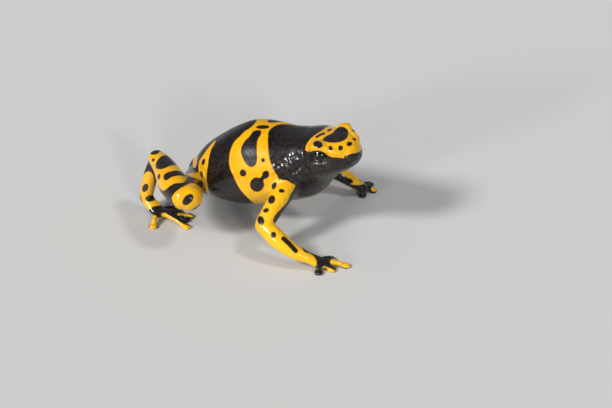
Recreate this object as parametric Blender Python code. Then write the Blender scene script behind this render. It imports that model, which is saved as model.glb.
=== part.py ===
"""A yellow-banded poison dart frog, life size, sitting alert on its four feet.

Sizes below are in millimetres; the finished meshes are set to metres.  +X is the
way the trunk points, +Y is the frog's left and +Z is up.  The pads of the fingers
and toes stand at Z = 0, and the model's box is centred over the origin.
"""

import itertools
import math
from dataclasses import dataclass, replace

import bmesh
import bpy
from mathutils import Matrix, Vector
from mathutils.bvhtree import BVHTree

# Forms are made in millimetres and set to metres when all are done.
METRES = 0.001
GAP = 0.3
# the edges that are taken out after a Boolean: the first length that leaves the mesh closed
SLIVER_SIZES = (0.02, 0.017, 0.014, 0.011, 0.008, 0.006, 0.004, 0.002, 0.001)

# Right and left are told apart by the sign of Y.
RIGHT, LEFT = -1, 1
SIDE_NAMES = {RIGHT: "right", LEFT: "left"}

# Trunk: its middle line from the vent to the neck, with half width, height of
# the back above the line and depth of the belly below it.
TRUNK_SIDES = 26
TRUNK_LINE = (
    # x, y, z, half width, back, belly, squareness
    (-10.4, -0.5, 6.6, 3.8, 2.6, 3.6, 2.2),
    (-8.8, -0.5, 7.1, 5.1, 4.1, 4.5, 2.3),
    (-6.0, -0.5, 8.1, 6.5, 5.7, 5.6, 2.3),
    (-2.0, -0.4, 9.4, 7.5, 7.4, 6.9, 2.2),
    (2.5, -0.3, 11.0, 7.9, 8.35, 7.5, 2.1),
    (6.8, -0.2, 12.7, 7.3, 7.25, 7.8, 2.1),
    (10.0, -0.1, 14.3, 6.3, 5.7, 8.0, 2.2),
)
NECK_AT = (12.9, 0.1, 16.1)
NECK_YAW, NECK_PITCH, NECK_ROLL = -21.0, 20.0, 6.0
NECK_HALF_WIDTH, NECK_BACK, NECK_THROAT = 5.6, 4.2, 6.6

# Head: the middle between the eyes, and how the head is turned from the trunk.
HEAD_AT = (16.62, -2.26, 19.66)
HEAD_YAW, HEAD_PITCH, HEAD_ROLL = -30.0, 17.5, 11.0
HEAD_SIDES, HEAD_REACH = 28, 9.0
HEAD_SECTIONS = (
    # forward, half width, top, bottom, squareness
    (-3.4, 5.50, 2.10, -7.3, 2.3),
    (-1.6, 5.40, 2.10, -6.6, 2.4),
    (0.2, 5.05, 1.95, -5.8, 2.5),
    (1.9, 4.50, 1.70, -5.1, 2.6),
    (3.3, 3.68, 1.40, -4.55, 2.7),
    (4.4, 2.78, 1.05, -4.05, 2.6),
    (5.0, 2.12, 0.70, -3.50, 2.5),
    (5.22, 1.55, 0.25, -2.95, 2.3),
)
# The line of the mouth, seen from the side: forward and up.
MOUTH_LINE = ((8.0, -2.15), (5.6, -2.3), (3.8, -2.8), (1.8, -3.2), (-0.6, -3.5), (-2.4, -4.1))
JAW_REAR = ((-2.7, -5.4), (-2.2, -9.0), (8.0, -9.0))
LIP_RADIUS = 0.32
MOUTH_TURN = 122.0

# Eyes: centre forward, out and up from the middle of the head.
EYE_FORWARD, EYE_OUT, EYE_UP, EYE_RADIUS = 0.15, 3.35, -0.42, 1.85
LID_THICKNESS, LID_STRETCH, BROW_HEIGHT = 0.40, 1.04, 0.25
LID_OPENING = (0.60, 0.74, 0.30)
LID_TILT = 14.0
LID_HALF_LENGTH, LID_HALF_HEIGHT = 1.85, 1.15
# Ridge from each eye to the nostril: its middle, its way and its half sizes.
RIDGE_AT = (3.1, 2.95, 0.42)
RIDGE_WAY = (0.865, -0.37, -0.34)
RIDGE_SIZE = (2.6, 0.72, 0.72)

NOSTRIL_FORWARD, NOSTRIL_OUT, NOSTRIL_UP, NOSTRIL_RADIUS = 4.95, 1.75, -1.05, 0.26

EAR_FORWARD, EAR_OUT, EAR_UP, EAR_RADIUS, EAR_THICKNESS = -2.3, 5.30, -2.9, 0.78, 0.5

# Fore limbs: joints from the shoulder to the wrist.
ARM_JOINTS = {
    RIGHT: ((9.4, -4.8, 11.0), (7.6, -13.3, 5.9), (16.5, -14.8, 2.2)),
    LEFT: ((9.2, 4.0, 11.2), (7.9, 11.3, 6.8), (16.7, 13.2, 2.3)),
}
PALM = {RIGHT: (18.9, -14.0, 1.15), LEFT: (17.7, 14.3, 1.15)}
FINGER_TIPS = {
    RIGHT: ((20.6, -10.3), (24.2, -11.6), (22.3, -14.2), (20.0, -16.6)),
    LEFT: ((15.2, 17.0), (18.5, 17.7), (20.2, 15.6), (18.6, 12.2)),
}

# Hind limbs: joints hip, knee, heel, the bend into the foot.
LEG_JOINTS = {
    RIGHT: ((-9.7, -4.3, 6.4), (-6.1, -16.3, 10.1), (-16.8, -6.5, 10.6), (-18.2, -8.5, 2.9)),
    LEFT: ((-8.8, 3.0, 6.4), (-1.0, 12.8, 5.6), (-11.5, 5.2, 4.6), (-10.9, 12.2, 2.1)),
}
SOLE = {RIGHT: (-15.2, -9.8, 1.25), LEFT: (-7.6, 13.2, 1.25)}
TOE_TIPS = {
    RIGHT: ((-12.2, -5.6), (-8.9, -7.5), (-9.0, -9.2), (-8.0, -11.6), (-14.3, -14.4)),
    LEFT: ((-4.0, 9.4), (-1.2, 11.0), (0.2, 13.2), (0.2, 16.0), (-5.0, 18.0)),
}
DIGIT_RADIUS, DISC_RADIUS = 0.54, 0.82
# A digit's disc starts this far behind its tip, with its middle at this height.
DISC_START, DISC_HEIGHT = 1.30, 0.30
# Rings of a digit that stand closer together than this would cross where it bends.
DIGIT_RING_STEP = 0.4
LIMB_SIDES, DIGIT_SIDES = 14, 8

YELLOW = (0.95, 0.62, 0.02, 1.0)
BLACK = (0.012, 0.012, 0.018, 1.0)


@dataclass
class Ring:
    """One cross-section of a limb or trunk, square to the way the form runs."""

    at: Vector
    wide: float
    up: float
    down: float
    square: float = 2.0
    along: Vector = None
    top: Vector = None


def turned(yaw, pitch, roll):
    """The forward, left and up directions after a yaw, a pitch up and a roll."""
    turn = Matrix.Rotation(math.radians(yaw), 3, "Z")
    turn = turn @ Matrix.Rotation(math.radians(-pitch), 3, "Y")
    turn = turn @ Matrix.Rotation(math.radians(roll), 3, "X")
    return turn.col[0].copy(), turn.col[1].copy(), turn.col[2].copy()


def face_outwards(mesh):
    """Turns all faces of a closed mesh to the outside."""
    bmesh.ops.recalc_face_normals(mesh, faces=mesh.faces)
    if mesh.calc_volume(signed=True) < 0:
        bmesh.ops.reverse_faces(mesh, faces=mesh.faces)


def mixed_direction(near, far, share):
    """A direction between two others, or none where either is left open."""
    if near is None or far is None:
        return None
    return near.lerp(far, share).normalized()


def smooth_rings(rings, steps):
    """More rings between the given ones, on a curve through all of them."""

    def values(ring):
        return [*ring.at, ring.wide, ring.up, ring.down, ring.square]

    rows = [values(ring) for ring in rings]
    rows = [rows[0]] + rows + [rows[-1]]
    result = []
    for i in range(1, len(rows) - 2):
        for step in range(steps):
            t = step / steps
            mixed = []
            for a, b, c, d in zip(rows[i - 1], rows[i], rows[i + 1], rows[i + 2]):
                bend = 2 * a - 5 * b + 4 * c - d
                curl = 3 * b - a - 3 * c + d
                mixed.append(0.5 * (2 * b + (c - a) * t + bend * t * t + curl * t ** 3))
            near, far = rings[i - 1], rings[i]
            result.append(Ring(Vector(mixed[:3]), *mixed[3:], near.along, near.top))
            if step:
                result[-1].along = mixed_direction(near.along, far.along, t)
                result[-1].top = mixed_direction(near.top, far.top, t)
    last = rings[-1]
    result.append(replace(last, at=last.at.copy()))
    return result


def set_directions(rings):
    """Gives each ring without one the direction of the path through it."""
    for i, ring in enumerate(rings):
        if ring.along is None:
            before = rings[max(i - 1, 0)].at
            after = rings[min(i + 1, len(rings) - 1)].at
            ring.along = (after - before).normalized()


def dome(ring, outward, roundness):
    """Two smaller rings and a tip that close a limb's end as half a ball."""
    depth = roundness * (ring.wide + 0.5 * (ring.up + ring.down)) / 2
    rings = []
    for angle in (math.radians(35), math.radians(66)):
        small = math.cos(angle)
        at = ring.at + outward * depth * math.sin(angle)
        sizes = (ring.wide * small, ring.up * small, ring.down * small)
        rings.append(Ring(at, *sizes, ring.square, ring.along, ring.top))
    return rings, ring.at + outward * depth


def sweep(rings, sides, top, starts_round=1.0, ends_round=1.0, grow=0.0):
    """A closed mesh over the rings; a roundness of 0 leaves that end flat.

    top is roughly the direction of the form's upper side.  grow makes a fatter
    copy, which cuts a neighbour so that the two keep a gap.
    """
    rings = [replace(ring, at=ring.at.copy()) for ring in rings]
    set_directions(rings)
    for ring in rings:
        ring.wide += grow
        ring.up += grow
        ring.down += grow
    if not starts_round:
        rings[0].at -= rings[0].along * grow
    if not ends_round:
        rings[-1].at += rings[-1].along * grow
    tips = []
    if starts_round:
        extra, tip = dome(rings[0], -rings[0].along, starts_round)
        rings = list(reversed(extra)) + rings
        tips.append(tip)
    else:
        tips.append(None)
    if ends_round:
        extra, tip = dome(rings[-1], rings[-1].along, ends_round)
        rings = rings + extra
        tips.append(tip)
    else:
        tips.append(None)

    mesh = bmesh.new()
    loops = []
    for ring in rings:
        side = (ring.top or top).cross(ring.along).normalized()
        over = ring.along.cross(side).normalized()
        power = 2.0 / ring.square
        loop = []
        for k in range(sides):
            angle = 2 * math.pi * k / sides
            c, s = math.cos(angle), math.sin(angle)
            height = ring.up if s > 0 else ring.down
            across = math.copysign(abs(c) ** power, c) * ring.wide
            rise = math.copysign(abs(s) ** power, s) * height
            loop.append(mesh.verts.new(ring.at + side * across + over * rise))
        loops.append(loop)
    for near, far in zip(loops, loops[1:]):
        for k in range(sides):
            n = (k + 1) % sides
            mesh.faces.new((near[k], near[n], far[n], far[k]))
    for loop, tip, first in ((loops[0], tips[0], True), (loops[-1], tips[1], False)):
        order = list(reversed(loop)) if first else loop
        if tip is None:
            mesh.faces.new(order)
            continue
        point = mesh.verts.new(tip)
        for k in range(sides):
            mesh.faces.new((order[k], order[(k + 1) % sides], point))
    face_outwards(mesh)
    return mesh


def ball(centre, axes, radii, segments=16, rings=10, grow=0.0):
    """An ellipsoid with its radii along the three given axes."""
    mesh = bmesh.new()
    bmesh.ops.create_uvsphere(mesh, u_segments=segments, v_segments=rings, radius=1.0)
    frame = Matrix([axis.normalized() for axis in axes]).transposed()
    for vert in mesh.verts:
        stretched = Vector(c * (r + grow) for c, r in zip(vert.co, radii))
        vert.co = centre + frame @ stretched
    face_outwards(mesh)
    return mesh


def prism(outline, frame, centre, half_width):
    """A flat outline (forward, up) drawn out to both sides of the head."""
    forward, side, up = frame
    mesh = bmesh.new()
    walls = []
    for sign in (-1, 1):
        walls.append([
            mesh.verts.new(centre + forward * f + up * u + side * half_width * sign)
            for f, u in outline
        ])
    mesh.faces.new(walls[0])
    mesh.faces.new(list(reversed(walls[1])))
    for k in range(len(outline)):
        n = (k + 1) % len(outline)
        mesh.faces.new((walls[0][k], walls[1][k], walls[1][n], walls[0][n]))
    face_outwards(mesh)
    return mesh


def inset(outline, by):
    """The outline moved inwards by a distance, whichever way round it runs."""
    area = sum(
        a[0] * b[1] - b[0] * a[1] for a, b in zip(outline, outline[1:] + outline[:1])
    )
    turn = 1 if area > 0 else -1
    moved = []
    for k, point in enumerate(outline):
        here = Vector(point)
        back = (here - Vector(outline[k - 1])).normalized()
        ahead = (Vector(outline[(k + 1) % len(outline)]) - here).normalized()
        inward_back = Vector((-back.y, back.x)) * turn
        inward_ahead = Vector((-ahead.y, ahead.x)) * turn
        mitre = (inward_back + inward_ahead).normalized()
        moved.append(tuple(here + mitre * by / max(mitre.dot(inward_back), 0.3)))
    return moved


def paint(name, colour, roughness):
    """The plain material of a node."""
    material = bpy.data.materials.get(name) or bpy.data.materials.new(name)
    material.use_nodes = True
    shader = material.node_tree.nodes["Principled BSDF"]
    shader.inputs["Base Color"].default_value = colour
    shader.inputs["Roughness"].default_value = roughness
    shader.inputs["Metallic"].default_value = 0.0
    return material


def node(name, mesh, material):
    """An object of the scene from a bmesh, which is used up."""
    data = bpy.data.meshes.new(name)
    mesh.to_mesh(data)
    mesh.free()
    data.shade_smooth()
    data.set_sharp_from_angle(angle=math.radians(50))
    thing = bpy.data.objects.new(name, data)
    thing.data.materials.append(material)
    bpy.context.scene.collection.objects.link(thing)
    return thing


def combine(target, meshes, operation, solver="MANIFOLD"):
    """Applies one Boolean of all the meshes on the target and drops them.

    All faces are made three-sided first, since a bent four-sided face that is cut
    would be split again along another diagonal and cross its neighbours.
    """
    own = bmesh.new()
    own.from_mesh(target.data)
    bmesh.ops.triangulate(own, faces=own.faces)
    own.to_mesh(target.data)
    own.free()
    group = bpy.data.collections.new("pieces")
    for k, mesh in enumerate(meshes):
        data = bpy.data.meshes.new("piece")
        bmesh.ops.triangulate(mesh, faces=mesh.faces)
        mesh.to_mesh(data)
        mesh.free()
        piece = bpy.data.objects.new(f"piece_{k}", data)
        piece.hide_render = True
        piece.display_type = "WIRE"
        group.objects.link(piece)
    bpy.context.scene.collection.children.link(group)
    step = target.modifiers.new("combine", "BOOLEAN")
    step.operand_type = "COLLECTION"
    step.collection = group
    step.operation = operation
    step.solver = solver
    graph = bpy.context.evaluated_depsgraph_get()
    result = bpy.data.meshes.new_from_object(target.evaluated_get(graph))
    target.modifiers.remove(step)
    target.data = result
    for piece in list(group.objects):
        bpy.data.objects.remove(piece)
    bpy.data.collections.remove(group)
    keep_largest(target)


def without_slivers(data):
    """A bmesh of the data without needle faces, where that leaves it closed."""
    for smallest, three_sided_first, method in itertools.product(
        SLIVER_SIZES, (False, True), ("BEAUTY", "EAR_CLIP")
    ):
        mesh = bmesh.new()
        mesh.from_mesh(data)
        if three_sided_first:
            bmesh.ops.triangulate(mesh, faces=mesh.faces, ngon_method=method)
        bmesh.ops.dissolve_degenerate(mesh, edges=mesh.edges, dist=smallest)
        bmesh.ops.triangulate(mesh, faces=mesh.faces, ngon_method=method)
        if all(edge.is_manifold for edge in mesh.edges):
            return mesh
        mesh.free()
    mesh = bmesh.new()
    mesh.from_mesh(data)
    return mesh


def keep_largest(target):
    """Leaves only the largest closed surface of an object, with clean faces."""
    mesh = without_slivers(target.data)
    mesh.faces.ensure_lookup_table()
    seen = set()
    islands = []
    for start in mesh.faces:
        if start in seen:
            continue
        seen.add(start)
        island, waiting = [], [start]
        while waiting:
            face = waiting.pop()
            island.append(face)
            for edge in face.edges:
                for other in edge.link_faces:
                    if other not in seen:
                        seen.add(other)
                        waiting.append(other)
        islands.append(island)
    islands.sort(key=lambda faces: sum(f.calc_area() for f in faces))
    extra = [face for island in islands[:-1] for face in island]
    bmesh.ops.delete(mesh, geom=extra, context="FACES")
    mesh.to_mesh(target.data)
    mesh.free()
    target.data.shade_smooth()
    target.data.set_sharp_from_angle(angle=math.radians(50))


def floor_cutter():
    """A block below Z = 0 that leaves flats under the pads."""
    mesh = bmesh.new()
    bmesh.ops.create_cube(mesh, size=1.0)
    for vert in mesh.verts:
        vert.co = Vector((vert.co.x * 80, vert.co.y * 80, vert.co.z * 10 - 5))
    return mesh


def limb(points, sizes, top, steps=4, starts_round=1.0, ends_round=1.0, grow=0.0):
    """A limb through points with half width and half height at each, in mm."""
    rings = []
    for point, (wide, tall) in zip(points, sizes):
        rings.append(Ring(Vector(point), wide, tall, tall))
    rings = smooth_rings(rings, steps)
    return sweep(rings, LIMB_SIDES, Vector(top), starts_round, ends_round, grow)


def between(a, b, share, lift=(0.0, 0.0, 0.0)):
    """A point part of the way from a to b, moved by lift."""
    return tuple(p + (q - p) * share + l for p, q, l in zip(a, b, lift))


def head_frame():
    """The head's forward, left and up directions."""
    return turned(HEAD_YAW, HEAD_PITCH, HEAD_ROLL)


def neck_ring(ahead):
    """The section where the trunk and the head are parted."""
    along, _, top = turned(NECK_YAW, NECK_PITCH, NECK_ROLL)
    at = Vector(NECK_AT) + along * ahead
    return Ring(at, NECK_HALF_WIDTH, NECK_BACK, NECK_THROAT, 2.3, along, top)


def trunk_mesh(grow=0.0):
    """The trunk, from the vent to the flat face of the neck."""
    rings = []
    for x, y, z, wide, back, belly, square in TRUNK_LINE:
        rings.append(Ring(Vector((x, y, z)), wide, back, belly, square))
    rings.append(neck_ring(0.0))
    return sweep(smooth_rings(rings, 2), TRUNK_SIDES, Vector((0, 0, 1)), 0.55, 0.0, grow)


def head_mesh():
    """The whole head with the jaw, from the neck's flat face to the snout."""
    forward, _, up = head_frame()
    rings = [neck_ring(GAP)]
    for ahead, wide, top, bottom, square in HEAD_SECTIONS:
        middle = (top + bottom) / 2
        at = Vector(HEAD_AT) + (forward * ahead + up * middle)
        half = (top - bottom) / 2
        rings.append(Ring(at, wide, half, half, square, forward, up))
    return sweep(smooth_rings(rings, 2), HEAD_SIDES, up, 0.0, 0.45)


def eye_place(hand):
    """The centre of an eye and its own axes: along the lids, up and outward."""
    forward, left, up = head_frame()
    centre = Vector(HEAD_AT) + (forward * EYE_FORWARD + left * EYE_OUT * hand + up * EYE_UP)
    look = (forward * LID_OPENING[0] + left * LID_OPENING[1] * hand + up * LID_OPENING[2])
    look.normalize()
    level = up.cross(look).normalized()
    tilt = math.radians(LID_TILT) * hand
    along = level * math.cos(tilt) + look.cross(level) * math.sin(tilt)
    return centre, (along, look.cross(along), look)


def ridge_place(hand):
    """The middle of the ridge in front of an eye and its axes, the first one along it."""
    forward, left, up = head_frame()
    middle = Vector(HEAD_AT) + forward * RIDGE_AT[0] + left * RIDGE_AT[1] * hand + up * RIDGE_AT[2]
    along = (forward * RIDGE_WAY[0] + left * RIDGE_WAY[1] * hand + up * RIDGE_WAY[2]).normalized()
    across = up.cross(along).normalized()
    return middle, (along, across, along.cross(across))


def ear_place(hand):
    """The centre of an eardrum and its axes, the last one facing out."""
    forward, left, up = head_frame()
    centre = Vector(HEAD_AT) + (forward * EAR_FORWARD + left * EAR_OUT * hand + up * EAR_UP)
    out = (left * hand - forward * 0.10 + up * 0.05).normalized()
    along = up.cross(out).normalized()
    return centre, (along, out.cross(along), out)


def lip_mesh(skin, above, flatness):
    """A roll of lip that follows the mouth round the head, from corner to corner."""
    forward, left, up = head_frame()
    centre = Vector(HEAD_AT) + forward * 2.0
    rings = []
    turns = 22
    for k in range(turns + 1):
        angle = math.radians(MOUTH_TURN * (2 * k / turns - 1))
        ray = forward * math.cos(angle) + left * math.sin(angle)
        ahead = 2.0 + 5.0 * math.cos(angle)
        for _ in range(2):
            start = centre + up * (above + mouth_height(ahead)) + ray * 30
            hit = skin.ray_cast(start, -ray)[0]
            ahead = (hit - Vector(HEAD_AT)).dot(forward)
        radius = LIP_RADIUS * min(1.0, 0.35 + 0.25 * min(k, turns - k))
        rings.append(Ring(hit - ray * 0.45 * LIP_RADIUS, radius, radius * flatness, radius * flatness))
    return sweep(rings, 6, up, 1.0, 1.0)


def mouth_height(ahead):
    """How high the mouth's line is at a distance forward of the eyes."""
    line = sorted(MOUTH_LINE)
    if ahead <= line[0][0]:
        return line[0][1]
    for (f0, u0), (f1, u1) in zip(line, line[1:]):
        if ahead <= f1:
            return u0 + (u1 - u0) * (ahead - f0) / (f1 - f0)
    return line[-1][1]


def build_head(skin_paint, eye_paint):
    """The head with lids, lips, nostrils and ears, the jaw, eyes and eardrums."""
    frame = head_frame()
    forward, left, up = frame
    whole = head_mesh()
    skin = BVHTree.FromBMesh(whole)
    jaw_outline = [*MOUTH_LINE, *JAW_REAR]
    jaw_block = prism(inset(jaw_outline, GAP), frame, Vector(HEAD_AT), HEAD_REACH)
    mouth_block = prism(jaw_outline, frame, Vector(HEAD_AT), HEAD_REACH)

    jaw = node("lower_jaw", whole.copy(), skin_paint)
    combine(jaw, [lip_mesh(skin, -0.62, 0.7)], "UNION")
    combine(jaw, [jaw_block], "INTERSECT")

    head = node("head", whole, skin_paint)
    additions = [lip_mesh(skin, 0.42, 1.0)]
    hollows = [mouth_block]
    for hand in (RIGHT, LEFT):
        centre, axes = eye_place(hand)
        look = axes[2]
        lid_radius = EYE_RADIUS + GAP + LID_THICKNESS
        brow = (lid_radius * LID_STRETCH, lid_radius + BROW_HEIGHT, lid_radius * LID_STRETCH)
        upright = (up.cross(left) * hand, up, left * hand)
        additions.append(ball(centre + up * BROW_HEIGHT, upright, brow, 18, 10))
        additions.append(ball(*ridge_place(hand), RIDGE_SIZE, 12, 10))
        hollows.append(ball(centre, axes, (EYE_RADIUS + GAP,) * 3, 16, 10))
        slit = (LID_HALF_LENGTH, LID_HALF_HEIGHT, 1.6)
        hollows.append(ball(centre + look * (EYE_RADIUS + 0.5), axes, slit, 16, 8))
        nostril = Vector(HEAD_AT) + (
            forward * NOSTRIL_FORWARD + left * NOSTRIL_OUT * hand + up * NOSTRIL_UP
        )
        pit = NOSTRIL_RADIUS
        out = (left * hand + forward * 0.5).normalized()
        tall = out.cross(up).normalized()
        swelling = (2.6 * pit, 2.2 * pit, 2.2 * pit)
        additions.append(ball(nostril - out * 0.3, (tall, up, out), swelling, 10, 6))
        hollows.append(ball(nostril + out * 0.25, (tall, up, out), (1.2 * pit, pit, 2.6 * pit), 8, 6))
        ear_centre, ear_axes = ear_place(hand)
        ear_size = (EAR_RADIUS, EAR_RADIUS, EAR_THICKNESS)
        rim = (2.0 * EAR_RADIUS, 2.0 * EAR_RADIUS, EAR_THICKNESS)
        additions.append(ball(ear_centre - ear_axes[2] * 0.15, ear_axes, rim, 15, 7))
        hollows.append(ball(ear_centre, ear_axes, ear_size, 12, 6, GAP))
        node(f"ear_{SIDE_NAMES[hand]}", ball(ear_centre, ear_axes, ear_size, 12, 6), skin_paint)
        node(f"eye_{SIDE_NAMES[hand]}", ball(centre, axes, (EYE_RADIUS,) * 3, 16, 10), eye_paint)
    combine(head, additions, "UNION")
    combine(head, hollows, "DIFFERENCE")


def digit_mesh(root, tip, lift, radius, disc, root_radius):
    """A finger or toe from its root to the disc at its tip."""
    way = Vector((tip[0] - root[0], tip[1] - root[1], 0.0))
    reach = way.length
    way.normalize()
    neck = reach - DISC_START
    rings = []
    previous = -DIGIT_RING_STEP
    for share, thick in ((0.0, root_radius), (0.35, radius), (0.68, radius * 0.86)):
        ahead = min(share * reach, neck - DIGIT_RING_STEP)
        if ahead < previous + DIGIT_RING_STEP:
            continue
        previous = ahead
        done = ahead / neck
        height = (1 - done) * root[2] + done * DISC_HEIGHT + lift * math.sin(math.pi * done)
        point = (root[0] + way.x * ahead, root[1] + way.y * ahead, height)
        rings.append(Ring(Vector(point), thick, thick, thick))
    for back, wide, tall in ((DISC_START, radius * 0.95, 0.40), (0.75, disc, 0.46), (0.25, disc * 0.92, 0.40)):
        point = (tip[0] - way.x * back, tip[1] - way.y * back, DISC_HEIGHT)
        rings.append(Ring(Vector(point), wide, tall, tall))
    return sweep(rings, DIGIT_SIDES, Vector((0, 0, 1)), 1.0, 0.7)


def build_arm(hand, skin_paint):
    """The upper arm, forearm and hand of one side."""
    side = SIDE_NAMES[hand]
    shoulder, elbow, wrist = ARM_JOINTS[hand]
    top = (0.0, 0.35 * hand, 1.0)

    def upper(grow=0.0):
        points = (shoulder, between(shoulder, elbow, 0.45, (0.1, 0, 0.3)), elbow)
        return limb(points, ((2.5, 2.6), (2.05, 2.1), (1.65, 1.65)), top, 4, 1.0, 1.0, grow)

    def fore(grow=0.0):
        points = (
            between(elbow, wrist, 0.02),
            between(elbow, wrist, 0.35, (0.05, 0.6 * hand, -0.2)),
            between(elbow, wrist, 0.72, (-0.1, 0.6 * hand, -0.2)),
            wrist,
        )
        return limb(points, ((1.6, 1.6), (1.75, 1.7), (1.45, 1.4), (1.25, 1.2)), top, 3, 1.0, 0.4, grow)

    arm = node(f"upper_arm_{side}", upper(), skin_paint)
    combine(arm, [trunk_mesh(GAP)], "DIFFERENCE")
    forearm = node(f"forearm_{side}", fore(), skin_paint)
    combine(forearm, [upper(GAP)], "DIFFERENCE")

    palm = PALM[hand]
    rings = []
    for at, wide, tall in (
        (between(wrist, palm, -0.15), 1.1, 0.9),
        (between(wrist, palm, 0.5), 1.35, 0.95),
        (palm, 1.55, 0.9),
        (between(wrist, palm, 1.45, (0, 0, 0.2)), 1.2, 0.7),
    ):
        rings.append(Ring(Vector(at), wide, tall, tall))
    body = sweep(smooth_rings(rings, 2), LIMB_SIDES, Vector((0, 0, 1)), 0.8, 0.8)
    whole = node(f"hand_{side}", body, skin_paint)
    digits = []
    for tip in FINGER_TIPS[hand]:
        root = between(palm, (*tip, palm[2]), 0.10)
        digits.append(digit_mesh((root[0], root[1], 1.0), tip, 0.25, DIGIT_RADIUS, DISC_RADIUS, 0.66))
    combine(whole, digits, "UNION")
    combine(whole, [fore(GAP), floor_cutter()], "DIFFERENCE")


def build_leg(hand, skin_paint):
    """The thigh, shank, tarsus and foot of one side."""
    side = SIDE_NAMES[hand]
    hip, knee, heel, ankle = LEG_JOINTS[hand]
    top = (0.0, -0.3 * hand, 1.0)

    def thigh(grow=0.0):
        points = (hip, between(hip, knee, 0.5, (-0.3, 0, 0.2)), knee)
        return limb(points, ((2.5, 2.8), (2.35, 2.6), (2.45, 2.4)), top, 4, 1.0, 0.9, grow)

    def shank(grow=0.0):
        points = (
            between(knee, heel, 0.0, (-1.2, 0.3 * hand, 0.0)),
            between(knee, heel, 0.38, (-0.6, 0.3 * hand, -0.2)),
            between(knee, heel, 0.75),
            heel,
        )
        sizes = ((2.3, 2.3), (2.75, 2.75), (2.2, 2.2), (1.75, 1.7))
        return limb(points, sizes, top, 3, 1.0, 1.0, grow)

    def tarsus(grow=0.0):
        points = (heel, between(heel, ankle, 0.45, (-0.3, 0, 0)), ankle)
        return limb(points, ((1.35, 1.35), (1.35, 1.4), (1.35, 1.3)), (1.0, 0, 0.1), 4, 1.0, 1.0, grow)

    upper = node(f"thigh_{side}", thigh(), skin_paint)
    combine(upper, [trunk_mesh(GAP)], "DIFFERENCE")
    lower = node(f"shank_{side}", shank(), skin_paint)
    combine(lower, [thigh(GAP), trunk_mesh(GAP)], "DIFFERENCE")
    ankle_piece = node(f"tarsus_{side}", tarsus(), skin_paint)
    combine(ankle_piece, [shank(GAP)], "DIFFERENCE")

    sole = SOLE[hand]
    rings = []
    for at, wide, tall in (
        (between(ankle, sole, -0.05, (0, 0, -0.1)), 1.2, 1.15),
        (between(ankle, sole, 0.5, (0, 0, -0.1)), 1.35, 1.0),
        (sole, 1.5, 0.85),
        (between(ankle, sole, 1.35, (0, 0, 0.55)), 1.2, 0.7),
    ):
        rings.append(Ring(Vector(at), wide, tall, tall))
    body = sweep(smooth_rings(rings, 2), LIMB_SIDES, Vector((0, 0, 1)), 0.8, 0.8)
    whole = node(f"foot_{side}", body, skin_paint)
    digits = []
    for tip in TOE_TIPS[hand]:
        root = between(sole, (*tip, sole[2]), 0.06)
        digits.append(digit_mesh((root[0], root[1], 1.0), tip, 0.35, DIGIT_RADIUS, DISC_RADIUS, 0.66))
    combine(whole, digits, "UNION")
    combine(whole, [tarsus(GAP), floor_cutter()], "DIFFERENCE")


def centre_over_origin():
    """Moves the frog so that its box is centred over the origin."""
    corners = [v.co for thing in bpy.data.objects for v in thing.data.vertices]
    low = Vector(min(c[i] for c in corners) for i in range(3))
    high = Vector(max(c[i] for c in corners) for i in range(3))
    shift = Vector((-(low.x + high.x) / 2, -(low.y + high.y) / 2, -low.z))
    for thing in bpy.data.objects:
        thing.data.transform(Matrix.Scale(METRES, 4) @ Matrix.Translation(shift))


def main():
    """Builds every sub-part as its own object."""
    for thing in list(bpy.data.objects):
        bpy.data.objects.remove(thing)
    dark = paint("dark_skin", BLACK, 0.35)
    yellow = paint("yellow_skin", YELLOW, 0.35)
    wet = paint("eye_gloss", BLACK, 0.08)
    node("torso", trunk_mesh(), dark)
    build_head(yellow, wet)
    for hand in (RIGHT, LEFT):
        build_arm(hand, yellow)
        build_leg(hand, yellow)
    centre_over_origin()


main()
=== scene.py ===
"""The looks of a yellow-banded poison dart frog, life size, on a plain floor.

One skin stands for all the flesh of the frame and carries the black and golden
bands; the two eyes stay pieces of their own.  Forms are drawn in millimetres in
the frog's own axes: +X the way the trunk points, +Y its left, +Z up, with the
pads of fingers and toes at Z = 0.  Frog.place sets them into the frame.
"""

import logging
import math
from dataclasses import dataclass, field, replace
from enum import Enum
from functools import cached_property
from typing import ClassVar

import bpy
import numpy as np
from mathutils import Matrix, Vector
from mathutils.bvhtree import BVHTree


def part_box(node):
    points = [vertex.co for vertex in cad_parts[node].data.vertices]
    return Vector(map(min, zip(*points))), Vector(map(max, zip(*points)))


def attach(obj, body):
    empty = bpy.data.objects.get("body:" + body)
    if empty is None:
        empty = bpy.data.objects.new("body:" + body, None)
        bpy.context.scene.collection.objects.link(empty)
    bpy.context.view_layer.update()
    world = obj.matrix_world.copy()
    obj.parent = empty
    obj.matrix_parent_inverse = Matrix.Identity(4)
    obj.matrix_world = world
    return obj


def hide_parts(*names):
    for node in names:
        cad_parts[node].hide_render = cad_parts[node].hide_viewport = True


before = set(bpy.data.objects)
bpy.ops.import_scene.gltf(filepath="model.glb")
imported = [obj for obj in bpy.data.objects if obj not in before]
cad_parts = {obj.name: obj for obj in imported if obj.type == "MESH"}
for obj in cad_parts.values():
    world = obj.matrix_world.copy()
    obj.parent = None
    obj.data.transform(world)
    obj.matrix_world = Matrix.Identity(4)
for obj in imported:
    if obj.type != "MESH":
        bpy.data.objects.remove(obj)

log = logging.getLogger("frog")

METRES = 0.001
PHOTO_WIDTH, PHOTO_HEIGHT = 612, 408
SENSOR_MM = 36.0
TINY, HUGE = 1e-9, 1e9


class Side(Enum):
    """The two sides of the frog; the value is the sign of Y."""

    RIGHT = -1
    LEFT = 1


class Paint(Enum):
    """What a marking lays on the black ground or takes away again."""

    GOLD = 1
    BLACK = -1


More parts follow.
